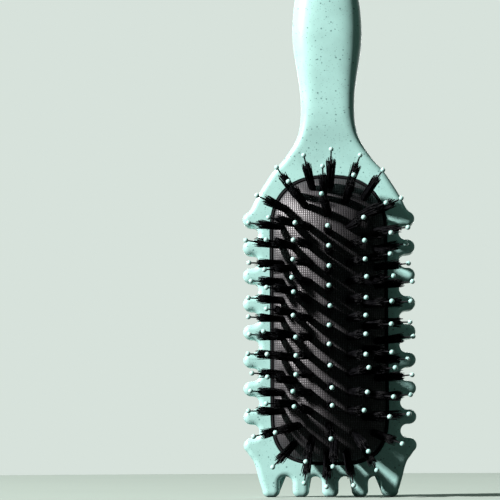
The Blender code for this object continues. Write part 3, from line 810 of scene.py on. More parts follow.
def select_only(bm, verts):
    """Selects the points, and the edges and faces that lie wholly between them."""
    bpy.ops.mesh.select_mode(type="VERT")
    bpy.ops.mesh.select_all(action="DESELECT")
    for vert in verts:
        vert.select_set(True)
    bm.select_flush_mode()


def select_edges(bm, pairs):
    """Selects the edges between pairs of points."""
    bpy.ops.mesh.select_mode(type="EDGE")
    bpy.ops.mesh.select_all(action="DESELECT")
    for first, second in pairs:
        edge = bm.edges.get((first, second))
        if edge is None:
            raise RuntimeError("the loop to be closed has an edge missing")
        edge.select_set(True)


def fill_loop(bm, ring):
    """Closes a loop of edges with one face."""
    select_edges(bm, zip(ring, ring[1:] + ring[:1]))
    bpy.ops.mesh.edge_face_add()


def first_ring(bm, points):
    """Adds a circle to the mesh in edit mode and moves its points onto the ring."""
    known = set(bm.verts)
    bpy.ops.mesh.select_all(action="DESELECT")
    bpy.ops.mesh.primitive_circle_add(vertices=len(points), radius=HEAD_HALF_WIDTH, fill_type="NOTHING")
    ring = [next(vert for vert in bm.verts if vert not in known)]
    while len(ring) < len(points):
        others = [edge.other_vert(ring[-1]) for edge in ring[-1].link_edges]
        ring.append(next(other for other in others if other not in ring[-2:]))
    for vert, point in zip(ring, points):
        vert.co = point
    return ring


def next_ring(bm, ring, points):
    """Extrudes the selected ring and moves the new points onto the next ring."""
    known = set(bm.verts)
    bpy.ops.mesh.extrude_region_move()
    grown = []
    for vert in ring:
        others = [edge.other_vert(vert) for edge in vert.link_edges]
        grown.append(next(other for other in others if other not in known))
    for vert, point in zip(grown, points):
        vert.co = point
    return grown


def loft(bm, rings):
    """Extrudes through all the rings. Returns the first and the last ring's points."""
    first = ring = first_ring(bm, rings[0])
    for points in rings[1:]:
        ring = next_ring(bm, ring, points)
    return first, ring


def face_between(bm, outer, inner):
    """Fills the flat band between two loops with two faces.

    They are cut apart by an edge from the outer loop's first point and one from its middle point.
    """
    middle = len(outer) // 2
    feet = []
    for start in (outer[0], outer[middle]):
        foot = min(inner, key=lambda vert: (vert.co - start.co).length)
        select_only(bm, [start, foot])
        bpy.ops.mesh.edge_face_add()
        feet.append(inner.index(foot))
    turned = inner[feet[0] :] + inner[: feet[0]]
    split = (feet[1] - feet[0]) % len(inner)
    sides = [outer[: middle + 1], outer[middle:] + outer[:1]]
    paths = [turned[: split + 1], turned[split:] + turned[:1]]
    if sides[0][len(sides[0]) // 2].co.x * paths[0][len(paths[0]) // 2].co.x < 0:
        paths = [path[::-1] for path in reversed(paths)]
    for side, path in zip(sides, paths):
        fill_loop(bm, side + path[::-1])


def new_piece(name):
    """An empty mesh object in edit mode, ready for its first ring, and its mesh to edit."""
    deselect_all()
    bpy.ops.mesh.primitive_plane_add(size=HEAD_HALF_WIDTH)
    made = named(name)
    bpy.ops.object.mode_set(mode="EDIT")
    bpy.ops.mesh.delete(type="VERT")
    return made, bmesh.from_edit_mesh(made.data)


def finish_solid(made):
    """Welds a solid, turns its faces outwards, smooths it between its creases and checks that it is shut."""
    bpy.ops.mesh.select_all(action="SELECT")
    bpy.ops.mesh.remove_doubles(threshold=MERGE_DISTANCE)
    bpy.ops.mesh.dissolve_degenerate(threshold=MERGE_DISTANCE / 4)
    bpy.ops.mesh.select_all(action="SELECT")
    bpy.ops.mesh.normals_make_consistent(inside=False)
    bpy.ops.object.mode_set(mode="OBJECT")
    bpy.ops.object.shade_smooth_by_angle(angle=math.radians(CREASE_DEGREES))
    weighted = made.modifiers.new("Even shading", "WEIGHTED_NORMAL")
    weighted.keep_sharp = True
    bpy.ops.object.modifier_apply(modifier=weighted.name)
    check_closed(made)
    return made


def check_closed(made):
    """Stops the script where a finished solid has an open edge."""
    bm = bmesh.new()
    bm.from_mesh(made.data)
    open_edges = sum(not edge.is_manifold for edge in bm.edges)
    bm.free()
    if open_edges:
        raise RuntimeError(f"{made.name} has {open_edges} open edges")


def put_on(made, body, slot, surface, *nodes):
    """Gives a finished piece its material and body, and hides the nodes that it stands for. Its slot is not
    used.
    """
    made.data.materials.clear()
    made.data.materials.append(finish(surface))
    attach(made, body)
    if nodes:
        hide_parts(*nodes)


def lofted_solid(name, rings, flat_end):
    """A solid through the rings, from a line to a flat end, which is the first ring (0) or the last (-1)."""
    made, bm = new_piece(name)
    ends = loft(bm, rings)
    fill_loop(bm, ends[flat_end])
    return finish_solid(made)


def full_outline():
    """The whole outline's edge and core, and its outward directions."""
    top = Vector((0.0, BULGE_HEIGHT + CAP_RISE))
    edge, core = (full_loop(list(right), top) for right in zip(*body_outline()))
    return edge, core, outward_normals(edge)


def opening_rings(round_size):
    """Rings of the cushion's opening, from the front face to the seam plane."""
    section = []
    for step in range(OPENING_ROUND_STEPS + 1):
        angle = math.pi / 2 * step / OPENING_ROUND_STEPS
        reach = OPENING_REACH + round_size * (1 - math.sin(angle))
        section.append((reach, RIM_PLACE + round_size * (1 - math.cos(angle))))
    rebate = FLANGE_REACH + REBATE_CLEARANCE
    back = RIM_PLACE + WALL
    section += [(OPENING_REACH, back), (rebate, back), (rebate, SEAM_PLACE - GAP / 2)]
    turns = loop_turns()
    return [oval_loop(turns, reach, place) for reach, place in section]


def front_moulding(sizes):
    """Rim, front of the handle and front half of the teeth, as one closed solid."""
    edge, _, normals = full_outline()
    half = len(edge) // 2
    rings = seam_rings(edge, normals, sizes.seam_groove, -1)
    rings += [front_ring(edge, normals, angle, sizes.edge_round) for angle in quarter_turn(FRONT_ANGLE_STEPS)]
    flat = max(index for index in range(half) if edge[index].y <= FLAT_TOP)
    neck = min(index for index in range(half) if edge[index].y >= NECK_HEIGHT)
    made, bm = new_piece("front_moulding")
    seam, face = loft(bm, rings)
    mouth, rebate = loft(bm, opening_rings(sizes.opening_round))
    right = face[:half]
    left = face[:half:-1]
    strip = [list(zip(side[flat:neck], side[flat + 1 : neck + 1])) for side in (right, left)]
    select_edges(bm, strip[0] + strip[1])
    bpy.ops.mesh.bridge_edge_loops()
    face_between(bm, left[flat::-1] + right[: flat + 1], mouth)
    face_between(bm, seam, rebate)
    return finish_solid(made)


def back_moulding(sizes):
    """Convex back, back of the handle and back half of the teeth, as one closed solid."""
    edge, core, normals = full_outline()
    rings = seam_rings(edge, normals, sizes.seam_groove, 1)
    rings += [back_ring(edge, core, angle) for angle in quarter_turn(BACK_ANGLE_STEPS)]
    return lofted_solid("back_moulding", rings, 0)


def cushion_ring():
    """The thin black ring between the rim and the cushion, with a rounded lip."""
    turns = loop_turns()
    inner = CUSHION_REACH + GAP / 3
    middle = (BEZEL_REACH + inner) / 2
    lip = (BEZEL_REACH - inner) / 2
    front = RIM_PLACE - BEZEL_PROUD + lip
    section = []
    for step in range(LIP_STEPS + 1):
        angle = math.pi * step / LIP_STEPS
        section.append((middle + lip * math.cos(angle), front - lip * math.sin(angle)))
    section += [(inner, FLANGE_FRONT - GAP), (BEZEL_REACH, FLANGE_FRONT - GAP)]
    made, bm = new_piece("cushion_ring")
    loft(bm, [oval_loop(turns, reach, place) for reach, place in section + section[:1]])
    return finish_solid(made)


def parabola_length(distance, drop, reach):
    """Length over a crown that falls by drop at reach, from its middle line to a distance from it."""
    slope = 2 * drop * distance / reach**2
    if slope < GAP:
        return distance
    return distance * (math.sqrt(1 + slope * slope) + math.asinh(slope) / slope) / 2


def weave_uv(made):
    """Lays the cloth's threads along and across the cushion, true to its surface, in metres."""
    drop = CROWN * CROWN_FALL_SHARE
    layer = made.data.uv_layers.new(name="Weave")
    middle = (OVAL_LOW + OVAL_HIGH) / 2
    straight = (OVAL_HIGH - OVAL_LOW) / 2
    for loop in made.data.loops:
        place = made.data.vertices[loop.vertex_index].co
        across = math.copysign(parabola_length(abs(place.x), drop, CUSHION_REACH), place.x)
        up = place.z - middle
        over = max(abs(up) - straight, 0.0)
        up = math.copysign(min(abs(up), straight) + parabola_length(over, drop, CUSHION_REACH), up)
        layer.data[loop.index].uv = (across, up)


def front_view(place):
    """The point of the rim plane under a place."""
    return Vector((place.x, place.z))


def crown_verts(made):
    """The cushion's points in front of the rim."""
    return [vert for vert in made.data.vertices if vert.co.y <= RIM_PLACE]


def tuft_roots():
    return [middle for places in tuft_places().values() for middle in places]


def held_share(place, roots):
    """1 where the cloth is held, at its sides and by the roots of the tufts, and 0 where it is free."""
    if place.y > RIM_PLACE - HELD_BORDER:
        return 1.0
    nearest = min((front_view(place) - root).length for root in roots)
    return 1.0 - smoothstep(HELD_ROOT, 2 * HELD_ROOT, nearest)


def loose_cloth(made):
    """A coarse copy of the cushion as cloth, held at its sides and by the tufts, with air pressing inside."""
    deselect_all()
    made.select_set(True)
    bpy.context.view_layer.objects.active = made
    bpy.ops.object.duplicate()
    loose = named("loose_cloth")
    loose.data.remesh_voxel_size = CLOTH_VOXEL
    bpy.ops.object.voxel_remesh()
    roots = tuft_roots()
    held = loose.vertex_groups.new(name="held")
    for vert in loose.data.vertices:
        held.add([vert.index], held_share(vert.co, roots), "REPLACE")
    cloth = loose.modifiers.new("Cloth", "CLOTH").settings
    cloth.vertex_group_mass = held.name
    cloth.tension_stiffness = CLOTH_STIFFNESS
    cloth.compression_stiffness = CLOTH_STIFFNESS
    cloth.use_pressure = True
    cloth.uniform_pressure_force = CLOTH_PRESSURE
    cloth.effector_weights.gravity = 0.0
    return loose


def swell(made):
    """Swells the cushion between its tufts, as its loose copy does in a short cloth simulation."""
    loose = loose_cloth(made)
    before = [vert.co.copy() for vert in loose.data.vertices]
    for moment in range(1, CLOTH_FRAMES + 1):
        bpy.context.scene.frame_set(moment)
    bpy.ops.object.modifier_apply(modifier=loose.modifiers[0].name)
    moves = [vert.co - start for vert, start in zip(loose.data.vertices, before)]
    bpy.context.scene.frame_set(1)
    remove(loose)
    tree = KDTree(len(before))
    for index, start in enumerate(before):
        tree.insert(start, index)
    tree.balance()
    for vert in crown_verts(made):
        total = Vector()
        whole = 0.0
        for _, index, distance in tree.find_n(vert.co, CLOTH_NEIGHBOURS):
            weight = 1 / (distance + CLOTH_VOXEL / 2) ** 2
            total += moves[index] * weight
            whole += weight
        move = total / whole
        if move.length > SWELL_CAP:
            move *= SWELL_CAP / move.length
        vert.co += move


def draw_in(made, sizes):
    """Draws the cushion in round the root of every tuft."""
    roots = tuft_roots()
    reach = sizes.dimple_radius
    for vert in crown_verts(made):
        point = front_view(vert.co)
        pull = sum(math.exp(-DIMPLE_FALL * ((point - root).length / reach) ** 2) for root in roots)
        vert.co -= crown_normal(point) * sizes.dimple * min(pull, 1.0)


def fabric_cushion(sizes):
    """The crowned cushion in its cloth, with drawn-in sides and the flange that is held behind the rim."""
    turns = loop_turns()
    rings = []
    for step in range(CUSHION_STEPS + 1):
        share = step / CUSHION_STEPS
        ring = []
        for turn in turns:
            edge = oval_point(SKIRT_REACH, turn)
            spine = Vector((0.0, min(max(edge.y, OVAL_LOW), OVAL_HIGH)))
            point = spine.lerp(edge, share)
            ring.append(Vector((point.x, crown_place(point), point.y)))
        rings.append(ring)
    top = crown_place(oval_point(SKIRT_REACH, 0))
    for step in range(1, SKIRT_STEPS + 1):
        share = step / SKIRT_STEPS
        rounded = math.sin(math.pi * min(share * SKIRT_BULGE_TURNS, 1.0))
        bulge = SKIRT_WIDTH / 2 * rounded - SKIRT_WAIST * share
        rings.append(oval_loop(turns, SKIRT_REACH + bulge, mix(top, FLANGE_FRONT, share)))
    rings.append(oval_loop(turns, FLANGE_REACH, FLANGE_FRONT))
    rings.append(oval_loop(turns, FLANGE_REACH, FLANGE_BACK))
    made = lofted_solid("fabric_cushion", rings, -1)
    swell(made)
    draw_in(made, sizes)
    weave_uv(made)
    return made


# Tufts


def leaning(place, bend, length):
    """A point of a strand, carried aside as it rises."""
    share = max(place.z, 0.0) / length
    return place + Vector((bend * share * share, 0.0, 0.0))


def strand(name, sides, root, tip, length, bend):
    """One bristle or pin along +Z, tapered and a little bent."""
    deselect_all()
    bpy.ops.mesh.primitive_cone_add(
        vertices=sides, radius1=root, radius2=tip, depth=length,
        location=(0, 0, length / 2), end_fill_type="NGON",
    )
    made = named(name)
    bpy.ops.object.transform_apply(location=True, rotation=True, scale=True)
    bpy.ops.object.mode_set(mode="EDIT")
    for share in STRAND_CUTS:
        bpy.ops.mesh.select_all(action="SELECT")
        bpy.ops.mesh.bisect(plane_co=(0, 0, length * share), plane_no=(0, 0, 1))
    bm = bmesh.from_edit_mesh(made.data)
    for vert in bm.verts:
        vert.co = leaning(vert.co, bend, length)
    smoothed()
    return made


def joined_copies(name, placed):
    """One object out of copies of others, each at its own place."""
    deselect_all()
    copies = []
    for source, matrix in placed:
        copy = source.copy()
        copy.data = source.data.copy()
        copy.data.transform(matrix)
        bpy.context.scene.collection.objects.link(copy)
        copy.select_set(True)
        copies.append(copy)
    bpy.context.view_layer.objects.active = copies[0]
    bpy.ops.object.join()
    return named(name)


def remove(made):
    mesh = made.data
    bpy.data.objects.remove(made)
    bpy.data.meshes.remove(mesh)


def bristle_tuft(name, bristle, sizes, dice):
    """A tuft of bristles on the origin, along +Z, close at the root and ragged at the tips."""
    placed = []
    for index in range(sizes.bristles):
        angle = index * GOLDEN_ANGLE + dice.uniform(-BRISTLE_SHIFT, BRISTLE_SHIFT)
        share = math.sqrt((index + 0.5) / sizes.bristles)
        root = sizes.tuft_root * share
        tip = sizes.tuft_tip * share * dice.uniform(1 - TIP_SPREAD, 1 + TIP_SPREAD)
        if dice.random() < 1 - SHORT_BRISTLES_SHARE:
            stretch = dice.uniform(SHORT_BRISTLE, 1.0)
        else:
            stretch = dice.uniform(SHORTEST_BRISTLE, SHORT_BRISTLE)
        lean = Matrix.Rotation(math.atan2(tip - root, sizes.bristle_length), 4, "Y")
        outwards = Matrix.Rotation(angle, 4, "Z") @ Matrix.Translation((root, 0, -GAP)) @ lean
        own = Matrix.Rotation(dice.uniform(0, math.tau), 4, "Z") @ Matrix.Diagonal((1, 1, stretch, 1))
        placed.append((bristle, outwards @ own))
    return joined_copies(name, placed)


def stand_on(middle, dice):
    """Stands a shape on the cushion at a place, square to the skin but for a few degrees."""
    normal = crown_normal(middle)
    side = Vector((0, 0, 1)).cross(normal).normalized()
    up = normal.cross(side)
    turned = Matrix((side, up, normal)).transposed().to_4x4()
    spin = Matrix.Rotation(dice.uniform(0, math.tau), 4, "Z")
    tilt = Matrix.Rotation(math.radians(dice.gauss(0, TUFT_LEAN_DEGREES)), 4, "X")
    root = Vector((middle.x, crown_place(middle), middle.y))
    return Matrix.Translation(root) @ turned @ spin @ tilt


def ball_tip(sizes):
    """The ball of a pin, with a short collar drawn down onto the pin."""
    deselect_all()
    centre = sizes.pin_length - sizes.ball_radius
    bpy.ops.mesh.primitive_uv_sphere_add(
        segments=BALL_SEGMENTS, ring_count=BALL_RINGS, radius=sizes.ball_radius, location=(0, 0, centre),
    )
    made = named("ball_tip")
    bpy.ops.object.transform_apply(location=True, rotation=True, scale=True)
    bpy.ops.object.mode_set(mode="EDIT")
    bm = bmesh.from_edit_mesh(made.data)
    collar = centre - sizes.ball_radius * COLLAR_START_SHARE
    select_only(bm, [vert for vert in bm.verts if vert.co.z < collar])
    bpy.ops.transform.translate(value=(0, 0, -sizes.ball_radius * COLLAR_DRAW_SHARE))
    smoothed()
    return made


# Finishes


def fill_sockets(tree, sockets, values):
    """Gives each socket a number, a colour or another node's output."""
    for socket, value in zip(sockets, values):
        if isinstance(value, bpy.types.NodeSocket):
            tree.links.new(value, socket)
        else:
            socket.default_value = value


def plug(tree, made, **sockets):
    """Fills a node's sockets by their names, with an underscore for each space."""
    fill_sockets(tree, [made.inputs[name.replace("_", " ")] for name in sockets], sockets.values())


def node(tree, kind, settings=None, **sockets):
    """A new node with its settings and sockets."""
    made = tree.nodes.new(kind)
    for name, value in (settings or {}).items():
        setattr(made, name, value)
    plug(tree, made, **sockets)
    return made


def new_surface(name):
    """A new material, its node tree and its shader."""
    made = bpy.data.materials.new(name)
    made.use_nodes = True
    return made, made.node_tree, made.node_tree.nodes["Principled BSDF"]


def place_on(tree, kind="Object"):
    """The place that a pattern is read at: on the piece, or in the sky where the kind is Generated."""
    return node(tree, "ShaderNodeTexCoord").outputs[kind]


def maths(tree, operation, *values):
    """The result of an operation on numbers or other nodes' outputs."""
    made = node(tree, "ShaderNodeMath", {"operation": operation})
    fill_sockets(tree, made.inputs, values)
    return made.outputs[0]


def blended(tree, factor, first, second):
    """Two colours mixed by a factor. Inputs 0, 6 and 7 and output 2 are those for colours."""
    made = node(tree, "ShaderNodeMix", {"data_type": "RGBA"})
    fill_sockets(tree, [made.inputs[index] for index in (0, 6, 7)], (factor, first, second))
    return made.outputs[2]


def remapped(tree, value, span, to=(0.0, 1.0)):
    """A value taken from one range into another, smoothly at both ends."""
    return node(
        tree, "ShaderNodeMapRange", {"interpolation_type": "SMOOTHSTEP"},
        Value=value, From_Min=span[0], From_Max=span[1], To_Min=to[0], To_Max=to[1],
    ).outputs[0]


def noise(tree, place, grain, output=0):
    """Noise of a grain, which is its scale to a metre, its detail and its roughness."""
    scale, detail, rough = grain
    made = node(tree, "ShaderNodeTexNoise", Vector=place, Scale=scale, Detail=detail, Roughness=rough)
    return made.outputs[output]


def bumped(tree, height, relief):
    """Shading of a relief, which is its strength and its depth."""
    strength, depth = relief
    return node(tree, "ShaderNodeBump", Strength=strength, Distance=depth, Height=height).outputs[0]


def shade(colour, factor=1.0):
    """A colour made lighter or darker by a factor."""
    return tuple(min(channel * factor, 1.0) for channel in colour) + (1.0,)


def shaded(tree, share, colour, first, second):
    """A colour that goes with a share from its first shade to its second."""
    return blended(tree, share, shade(colour, first), shade(colour, second))


def flakes(tree, place, spacing, radius):
    """1 inside flakes of about a radius that lie a spacing apart, 0 outside."""
    cells = node(tree, "ShaderNodeTexVoronoi", Vector=place, Scale=1 / spacing, Randomness=1.0)
    size = node(tree, "ShaderNodeSeparateColor", Color=cells.outputs["Color"]).outputs[0]
    limit = maths(tree, "MULTIPLY", remapped(tree, size, (0.0, 1.0), FLAKE_SIZES), radius / spacing)
    inside = maths(tree, "SUBTRACT", limit, cells.outputs["Distance"])
    return remapped(tree, inside, FLAKE_EDGE)


def mint_speckled_plastic(finishes):
    """Satin plastic with dark flakes of two sizes, faint clouds and a fine skin."""
    made, tree, shader = new_surface("mint_speckled_plastic")
    place = place_on(tree)
    ragged = node(tree, "ShaderNodeVectorMath", {"operation": "MULTIPLY_ADD"})
    fill_sockets(tree, ragged.inputs, (noise(tree, place, FLAKE_RIPPLE, "Color"), FLAKE_SHIFT, place))
    layers = []
    for spacing, radius, strength in FLAKES:
        layers.append(maths(tree, "MULTIPLY", flakes(tree, ragged.outputs[0], spacing, radius), strength))
    specks = maths(tree, "MULTIPLY", maths(tree, "MAXIMUM", *layers), FLAKE_STRENGTH)
    clouds = remapped(tree, noise(tree, place, MINT_CLOUDS), NOISE_SPAN)
    ground = shaded(tree, clouds, finishes.mint, MINT_DEEP, MINT_PALE)
    rough = [finishes.mint_roughness + change for change in MINT_ROUGHNESS_CHANGES]
    waves = maths(tree, "MULTIPLY", noise(tree, place, MINT_WAVES), MINT_WAVE_STRENGTH)
    height = maths(tree, "ADD", noise(tree, place, MINT_SKIN), waves)
    plug(
        tree, shader, Base_Color=blended(tree, specks, ground, shade(finishes.flake)),
        Roughness=remapped(tree, noise(tree, place, MINT_SHINE), SHINE_SPAN, rough),
        Normal=bumped(tree, height, MINT_RELIEF), Specular_IOR_Level=MINT_SPECULAR,
    )
    return made


def mint_ball_plastic(finishes):
    """The glossier, paler plastic of the ball tips."""
    made, tree, shader = new_surface("mint_ball_plastic")
    place = place_on(tree)
    clouds = remapped(tree, noise(tree, place, BALL_CLOUDS), NOISE_SPAN)
    pale = shade([mix(channel, 1.0, BALL_PALE) for channel in finishes.mint])
    plug(
        tree, shader, Base_Color=blended(tree, clouds, shade(finishes.mint), pale),
        Roughness=remapped(tree, noise(tree, place, BALL_SHINE), NOISE_SPAN, BALL_ROUGHNESS),
    )
    return made


def threads(tree, place, spacing, slack):
    """0 between two threads and 1 on top of one."""
    turn = maths(tree, "ADD", maths(tree, "DIVIDE", place, spacing), slack)
    wave = maths(tree, "ABSOLUTE", maths(tree, "SINE", maths(tree, "MULTIPLY", turn, math.pi)))
    return maths(tree, "POWER", wave, THREAD_POWER)


def cushion_woven_cloth(finishes):
    """Coarse black nylon cloth: ribs up the cushion, crossed by finer threads, with painted shade darkening
    the gaps between the threads.
    """
    made, tree, shader = new_surface("cushion_woven_cloth")
    laid = node(tree, "ShaderNodeUVMap", {"uv_map": "Weave"}).outputs[0]
    parts = node(tree, "ShaderNodeSeparateXYZ", Vector=laid).outputs
    slack = noise(tree, laid, CLOTH_SLACK)
    ribs = threads(tree, parts[0], finishes.weave, slack)
    wefts = threads(tree, parts[1], finishes.weave * WEFT_SHARE, slack)
    height = maths(tree, "MULTIPLY", ribs, maths(tree, "MULTIPLY_ADD", wefts, WEFT_RISE, 1 - WEFT_RISE))
    fuzz = noise(tree, laid, CLOTH_FUZZ)
    lit = shaded(tree, fuzz, finishes.cloth, 1.0, CLOTH_WORN)
    relief = maths(tree, "MULTIPLY_ADD", fuzz, CLOTH_FUZZ_RISE, height)
    plug(
        tree, shader,
        # Painted shade: the colour is darkened in the gaps between the threads and keeps the cloth's colour
        # on the threads' tops
        Base_Color=blended(tree, remapped(tree, height, THREAD_SHADE_SPAN), shade(finishes.cloth, CLOTH_GAP_SHADE), lit),
        Roughness=remapped(tree, height, CLOTH_SHINE_SPAN, CLOTH_ROUGHNESS),
        Normal=bumped(tree, relief, CLOTH_RELIEF), Specular_IOR_Level=1.0, Specular_Tint=CLOTH_TINT,
    )
    return made


def bristle_nylon(finishes):
    """Bristles and pins: black nylon, duller in places."""
    made, tree, shader = new_surface("bristle_nylon")
    patches = noise(tree, place_on(tree), NYLON_PATCHES)
    dust = remapped(tree, patches, NYLON_DUST_SPAN)
    plug(
        tree, shader, Base_Color=shaded(tree, dust, finishes.nylon, 1.0, NYLON_DUSTY),
        Roughness=remapped(tree, patches, NOISE_SPAN, NYLON_ROUGHNESS), Specular_IOR_Level=BLACK_SPECULAR,
    )
    return made


def black_trim_plastic(finishes):
    """Dull black plastic with a fine grain."""
    made, tree, shader = new_surface("black_trim_plastic")
    grain = noise(tree, place_on(tree), TRIM_GRAIN)
    plug(
        tree, shader, Base_Color=shaded(tree, grain, finishes.trim, 1.0, TRIM_PALE),
        Roughness=remapped(tree, grain, NOISE_SPAN, TRIM_ROUGHNESS),
        Normal=bumped(tree, grain, TRIM_RELIEF), Specular_IOR_Level=BLACK_SPECULAR,
    )
    return made


def finish(make):
    """The material that a function makes under its own name, made when it is first wanted."""
    return bpy.data.materials.get(make.__name__) or make(bpy.context.scene.brush_finishes)


# Studio


def seen_behind(tree, behind):
    """1 for the background as it is seen directly, through glass, or mirrored where behind is 1."""
    path = node(tree, "ShaderNodeLightPath").outputs
    direct = maths(tree, "MAXIMUM", path["Is Camera Ray"], path["Is Transmission Ray"])
    return maths(tree, "MAXIMUM", direct, maths(tree, "MULTIPLY", path["Is Glossy Ray"], behind))


def studio_floor(studio):
    """A round pale floor, which throws little of the lamps' light back up."""
    deselect_all()
    bpy.ops.mesh.primitive_circle_add(vertices=FLOOR_SIDES, radius=FLOOR_RADIUS, fill_type="NGON")
    made = named("floor")
    bpy.ops.object.mode_set(mode="EDIT")
    bpy.ops.mesh.extrude_region_move(TRANSFORM_OT_translate={"value": (0, 0, -FLOOR_THICKNESS)})
    bpy.ops.mesh.select_all(action="SELECT")
    bpy.ops.mesh.normals_make_consistent(inside=False)
    bpy.ops.object.mode_set(mode="OBJECT")
    surface, tree, shader = new_surface("pale_floor")
    place = place_on(tree)
    pale = shaded(tree, noise(tree, place, FLOOR_CLOUDS), studio.floor, 1.0, FLOOR_PALE)
    depth = node(tree, "ShaderNodeSeparateXYZ", Vector=place).outputs["Y"]
    seen = seen_behind(tree, remapped(tree, depth, FLOOR_MIRRORED_FROM))
    colour = blended(tree, seen, shade(studio.floor, FLOOR_BOUNCE), pale)
    plug(tree, shader, Base_Color=colour, Roughness=FLOOR_ROUGHNESS, Specular_IOR_Level=0.0)
    made.data.materials.append(surface)


def studio_world(studio):
    """Faint even fill, and a pale background, which is mirrored only from behind the brush."""
    world = bpy.data.worlds.new("studio")
    bpy.context.scene.world = world
    world.use_nodes = True
    tree = world.node_tree
    fill = tree.nodes["Background"]
    unmirrored = maths(tree, "SUBTRACT", 1.0, node(tree, "ShaderNodeLightPath").outputs["Is Glossy Ray"])
    plug(tree, fill, Color=FILL_COLOUR, Strength=maths(tree, "MULTIPLY", unmirrored, studio.fill))
    seen = node(tree, "ShaderNodeBackground", Color=shade(studio.wall), Strength=1.0)
    depth = node(tree, "ShaderNodeSeparateXYZ", Vector=place_on(tree, "Generated")).outputs["Y"]
    behind = seen_behind(tree, remapped(tree, depth, WALL_MIRRORED_FROM))
    choice = node(tree, "ShaderNodeMixShader")
    fill_sockets(tree, choice.inputs, (behind, fill.outputs[0], seen.outputs[0]))
    tree.links.new(choice.outputs[0], tree.nodes["World Output"].inputs["Surface"])


def area_lamp(name, azimuth, elevation, size, power):
    """A square lamp that looks at the brush from afar."""
    turn = math.radians(azimuth)
    rise = math.radians(elevation)
    way = Vector((math.sin(turn) * math.cos(rise), -math.cos(turn) * math.cos(rise), math.sin(rise)))
    place = Vector((0.0, 0.0, LAMP_AIM)) + way * LAMP_DISTANCE
    deselect_all()
    bpy.ops.object.light_add(type="AREA", location=place)
    lamp = named(name)
    lamp.rotation_euler = way.to_track_quat("Z", "Y").to_euler()
    lamp.data.size = size
    lamp.data.energy = power
    lamp.data.color = LAMP_COLOUR


def photograph_camera(studio):
    """The camera, low in front of the brush and turned a little to the left."""
    deselect_all()
    bpy.ops.object.camera_add(location=CAMERA_PLACE)
    camera = named("camera")
    pitch = Matrix.Rotation(math.radians(90 + CAMERA_RISE), 4, "X")
    yaw = Matrix.Rotation(math.radians(CAMERA_TURN), 4, "Z")
    roll = Matrix.Rotation(-math.radians(CAMERA_ROLL), 4, "Z")
    camera.rotation_euler = (yaw @ pitch @ roll).to_euler()
    camera.data.sensor_width = SENSOR_WIDTH
    camera.data.lens = studio.lens
    camera.data.clip_start = CLIP_START
    bpy.context.scene.camera = camera


# Operators


class STYLING_OT_front_moulding(bpy.types.Operator):
    """Build the front moulding: rim, front of the handle and front half of the teeth"""

    bl_idname = "styling.front_moulding"
    bl_label = "Front moulding"

    def execute(self, context):
        made = front_moulding(context.scene.brush_sizes)
        put_on(made, "body", "mint_plastic", mint_speckled_plastic, "front_frame")
        return {"FINISHED"}


class STYLING_OT_back_moulding(bpy.types.Operator):
    """Build the back moulding: convex back, back of the handle and back half of the teeth"""

    bl_idname = "styling.back_moulding"
    bl_label = "Back moulding"

    def execute(self, context):
        made = back_moulding(context.scene.brush_sizes)
        put_on(made, "body", "mint_plastic", mint_speckled_plastic, "back_shell")
        return {"FINISHED"}


class STYLING_OT_cushion_ring(bpy.types.Operator):
    """Build the thin black ring round the cushion"""

    bl_idname = "styling.cushion_ring"
    bl_label = "Cushion ring"

    def execute(self, context):
        put_on(cushion_ring(), "body", "black_plastic", black_trim_plastic, "cushion_bezel")
        return {"FINISHED"}


class STYLING_OT_fabric_cushion(bpy.types.Operator):
    """Build the crowned cushion in its woven cloth"""

    bl_idname = "styling.fabric_cushion"
    bl_label = "Fabric cushion"

    def execute(self, context):
        made = fabric_cushion(context.scene.brush_sizes)
        put_on(made, "body", "cushion_cloth", cushion_woven_cloth, "cushion_skirt")
        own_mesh(made)
        return {"FINISHED"}


class STYLING_OT_cushion_tray(bpy.types.Operator):
    """Finish the plate behind the cushion"""

    bl_idname = "styling.cushion_tray"
    bl_label = "Plate behind the cushion"

    def execute(self, context):
        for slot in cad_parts["cushion_tray"].material_slots:
            slot.material = finish(black_trim_plastic)
        return {"FINISHED"}


class STYLING_OT_tufts(bpy.types.Operator):
    """Build the tufts of bristles with their ball-tipped pins"""

    bl_idname = "styling.tufts"
    bl_label = "Tufts"

    def execute(self, context):
        sizes = context.scene.brush_sizes
        dice = random.Random(SEED)
        radius, length = sizes.bristle_radius, sizes.bristle_length
        bend = length * BRISTLE_BEND_SHARE
        bristle = strand("bristle", BRISTLE_SIDES, radius, radius * BRISTLE_TAPER, length, bend)
        radius, length = sizes.pin_radius, sizes.pin_length - sizes.ball_radius
        pin = strand("pin", PIN_SIDES, radius, radius * PIN_TAPER, length, 0.0)
        ball = ball_tip(sizes)
        variants = [bristle_tuft(f"tuft_{index}", bristle, sizes, dice) for index in range(TUFT_VARIANTS)]
        balls = []
        for name, middles in tuft_places().items():
            placed = []
            for middle in middles:
                stand = stand_on(middle, dice)
                placed += [(dice.choice(variants), stand), (pin, stand)]
                balls.append((ball, stand))
            made = joined_copies(f"{name}_bristles", placed)
            put_on(made, "tuft_field", "black_bristle", bristle_nylon, name)
        made = joined_copies("ball_tips", balls)
        put_on(made, "tuft_field", "mint_plastic", mint_ball_plastic)
        for source in (bristle, pin, ball, *variants):
            remove(source)
        return {"FINISHED"}


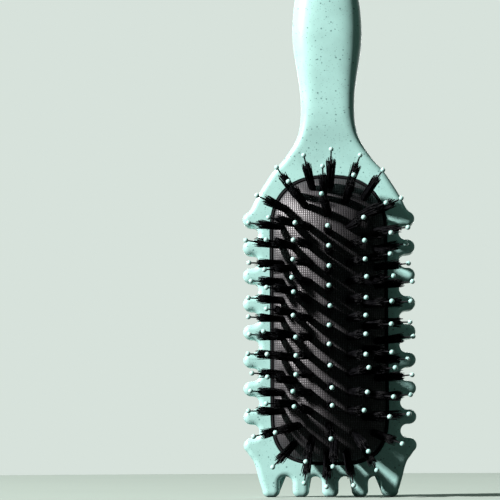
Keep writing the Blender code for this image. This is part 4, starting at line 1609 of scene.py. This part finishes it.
class STYLING_OT_studio(bpy.types.Operator):
    """Set up the floor, the background, the lamps and the camera"""

    bl_idname = "styling.studio"
    bl_label = "Studio"

    def execute(self, context):
        studio = context.scene.brush_studio
        studio_floor(studio)
        studio_world(studio)
        area_lamp("key_lamp", KEY_AZIMUTH, KEY_ELEVATION, studio.key_size, studio.key_power)
        area_lamp("back_lamp", BACK_AZIMUTH, BACK_ELEVATION, BACK_LAMP_SIZE, studio.back_power)
        photograph_camera(studio)
        context.scene.view_settings.view_transform = "Standard"
        return {"FINISHED"}


OPERATORS = (
    STYLING_OT_studio,
    STYLING_OT_front_moulding,
    STYLING_OT_back_moulding,
    STYLING_OT_cushion_ring,
    STYLING_OT_fabric_cushion,
    STYLING_OT_cushion_tray,
    STYLING_OT_tufts,
)


class STYLING_PT_brush(bpy.types.Panel):
    """Lists the pieces of the brush and its settings"""

    bl_idname = "STYLING_PT_brush"
    bl_label = "Styling brush"
    bl_space_type = "VIEW_3D"
    bl_region_type = "UI"
    bl_category = "Styling brush"

    def draw(self, context):
        for operator in OPERATORS:
            self.layout.operator(operator.bl_idname)
        for group in (context.scene.brush_sizes, context.scene.brush_finishes, context.scene.brush_studio):
            box = self.layout.box()
            for name in group.__annotations__:
                box.prop(group, name)


CLASSES = (BrushSizes, BrushFinishes, BrushStudio, *OPERATORS, STYLING_PT_brush)


def register():
    for made in CLASSES:
        bpy.utils.register_class(made)
    bpy.types.Scene.brush_sizes = PointerProperty(type=BrushSizes)
    bpy.types.Scene.brush_finishes = PointerProperty(type=BrushFinishes)
    bpy.types.Scene.brush_studio = PointerProperty(type=BrushStudio)


def unregister():
    del bpy.types.Scene.brush_studio
    del bpy.types.Scene.brush_finishes
    del bpy.types.Scene.brush_sizes
    for made in reversed(CLASSES):
        bpy.utils.unregister_class(made)


def main():
    register()
    bpy.ops.styling.studio()
    bpy.ops.styling.front_moulding()
    bpy.ops.styling.back_moulding()
    bpy.ops.styling.cushion_ring()
    bpy.ops.styling.fabric_cushion()
    bpy.ops.styling.cushion_tray()
    bpy.ops.styling.tufts()


if __name__ == "__main__":
    main()
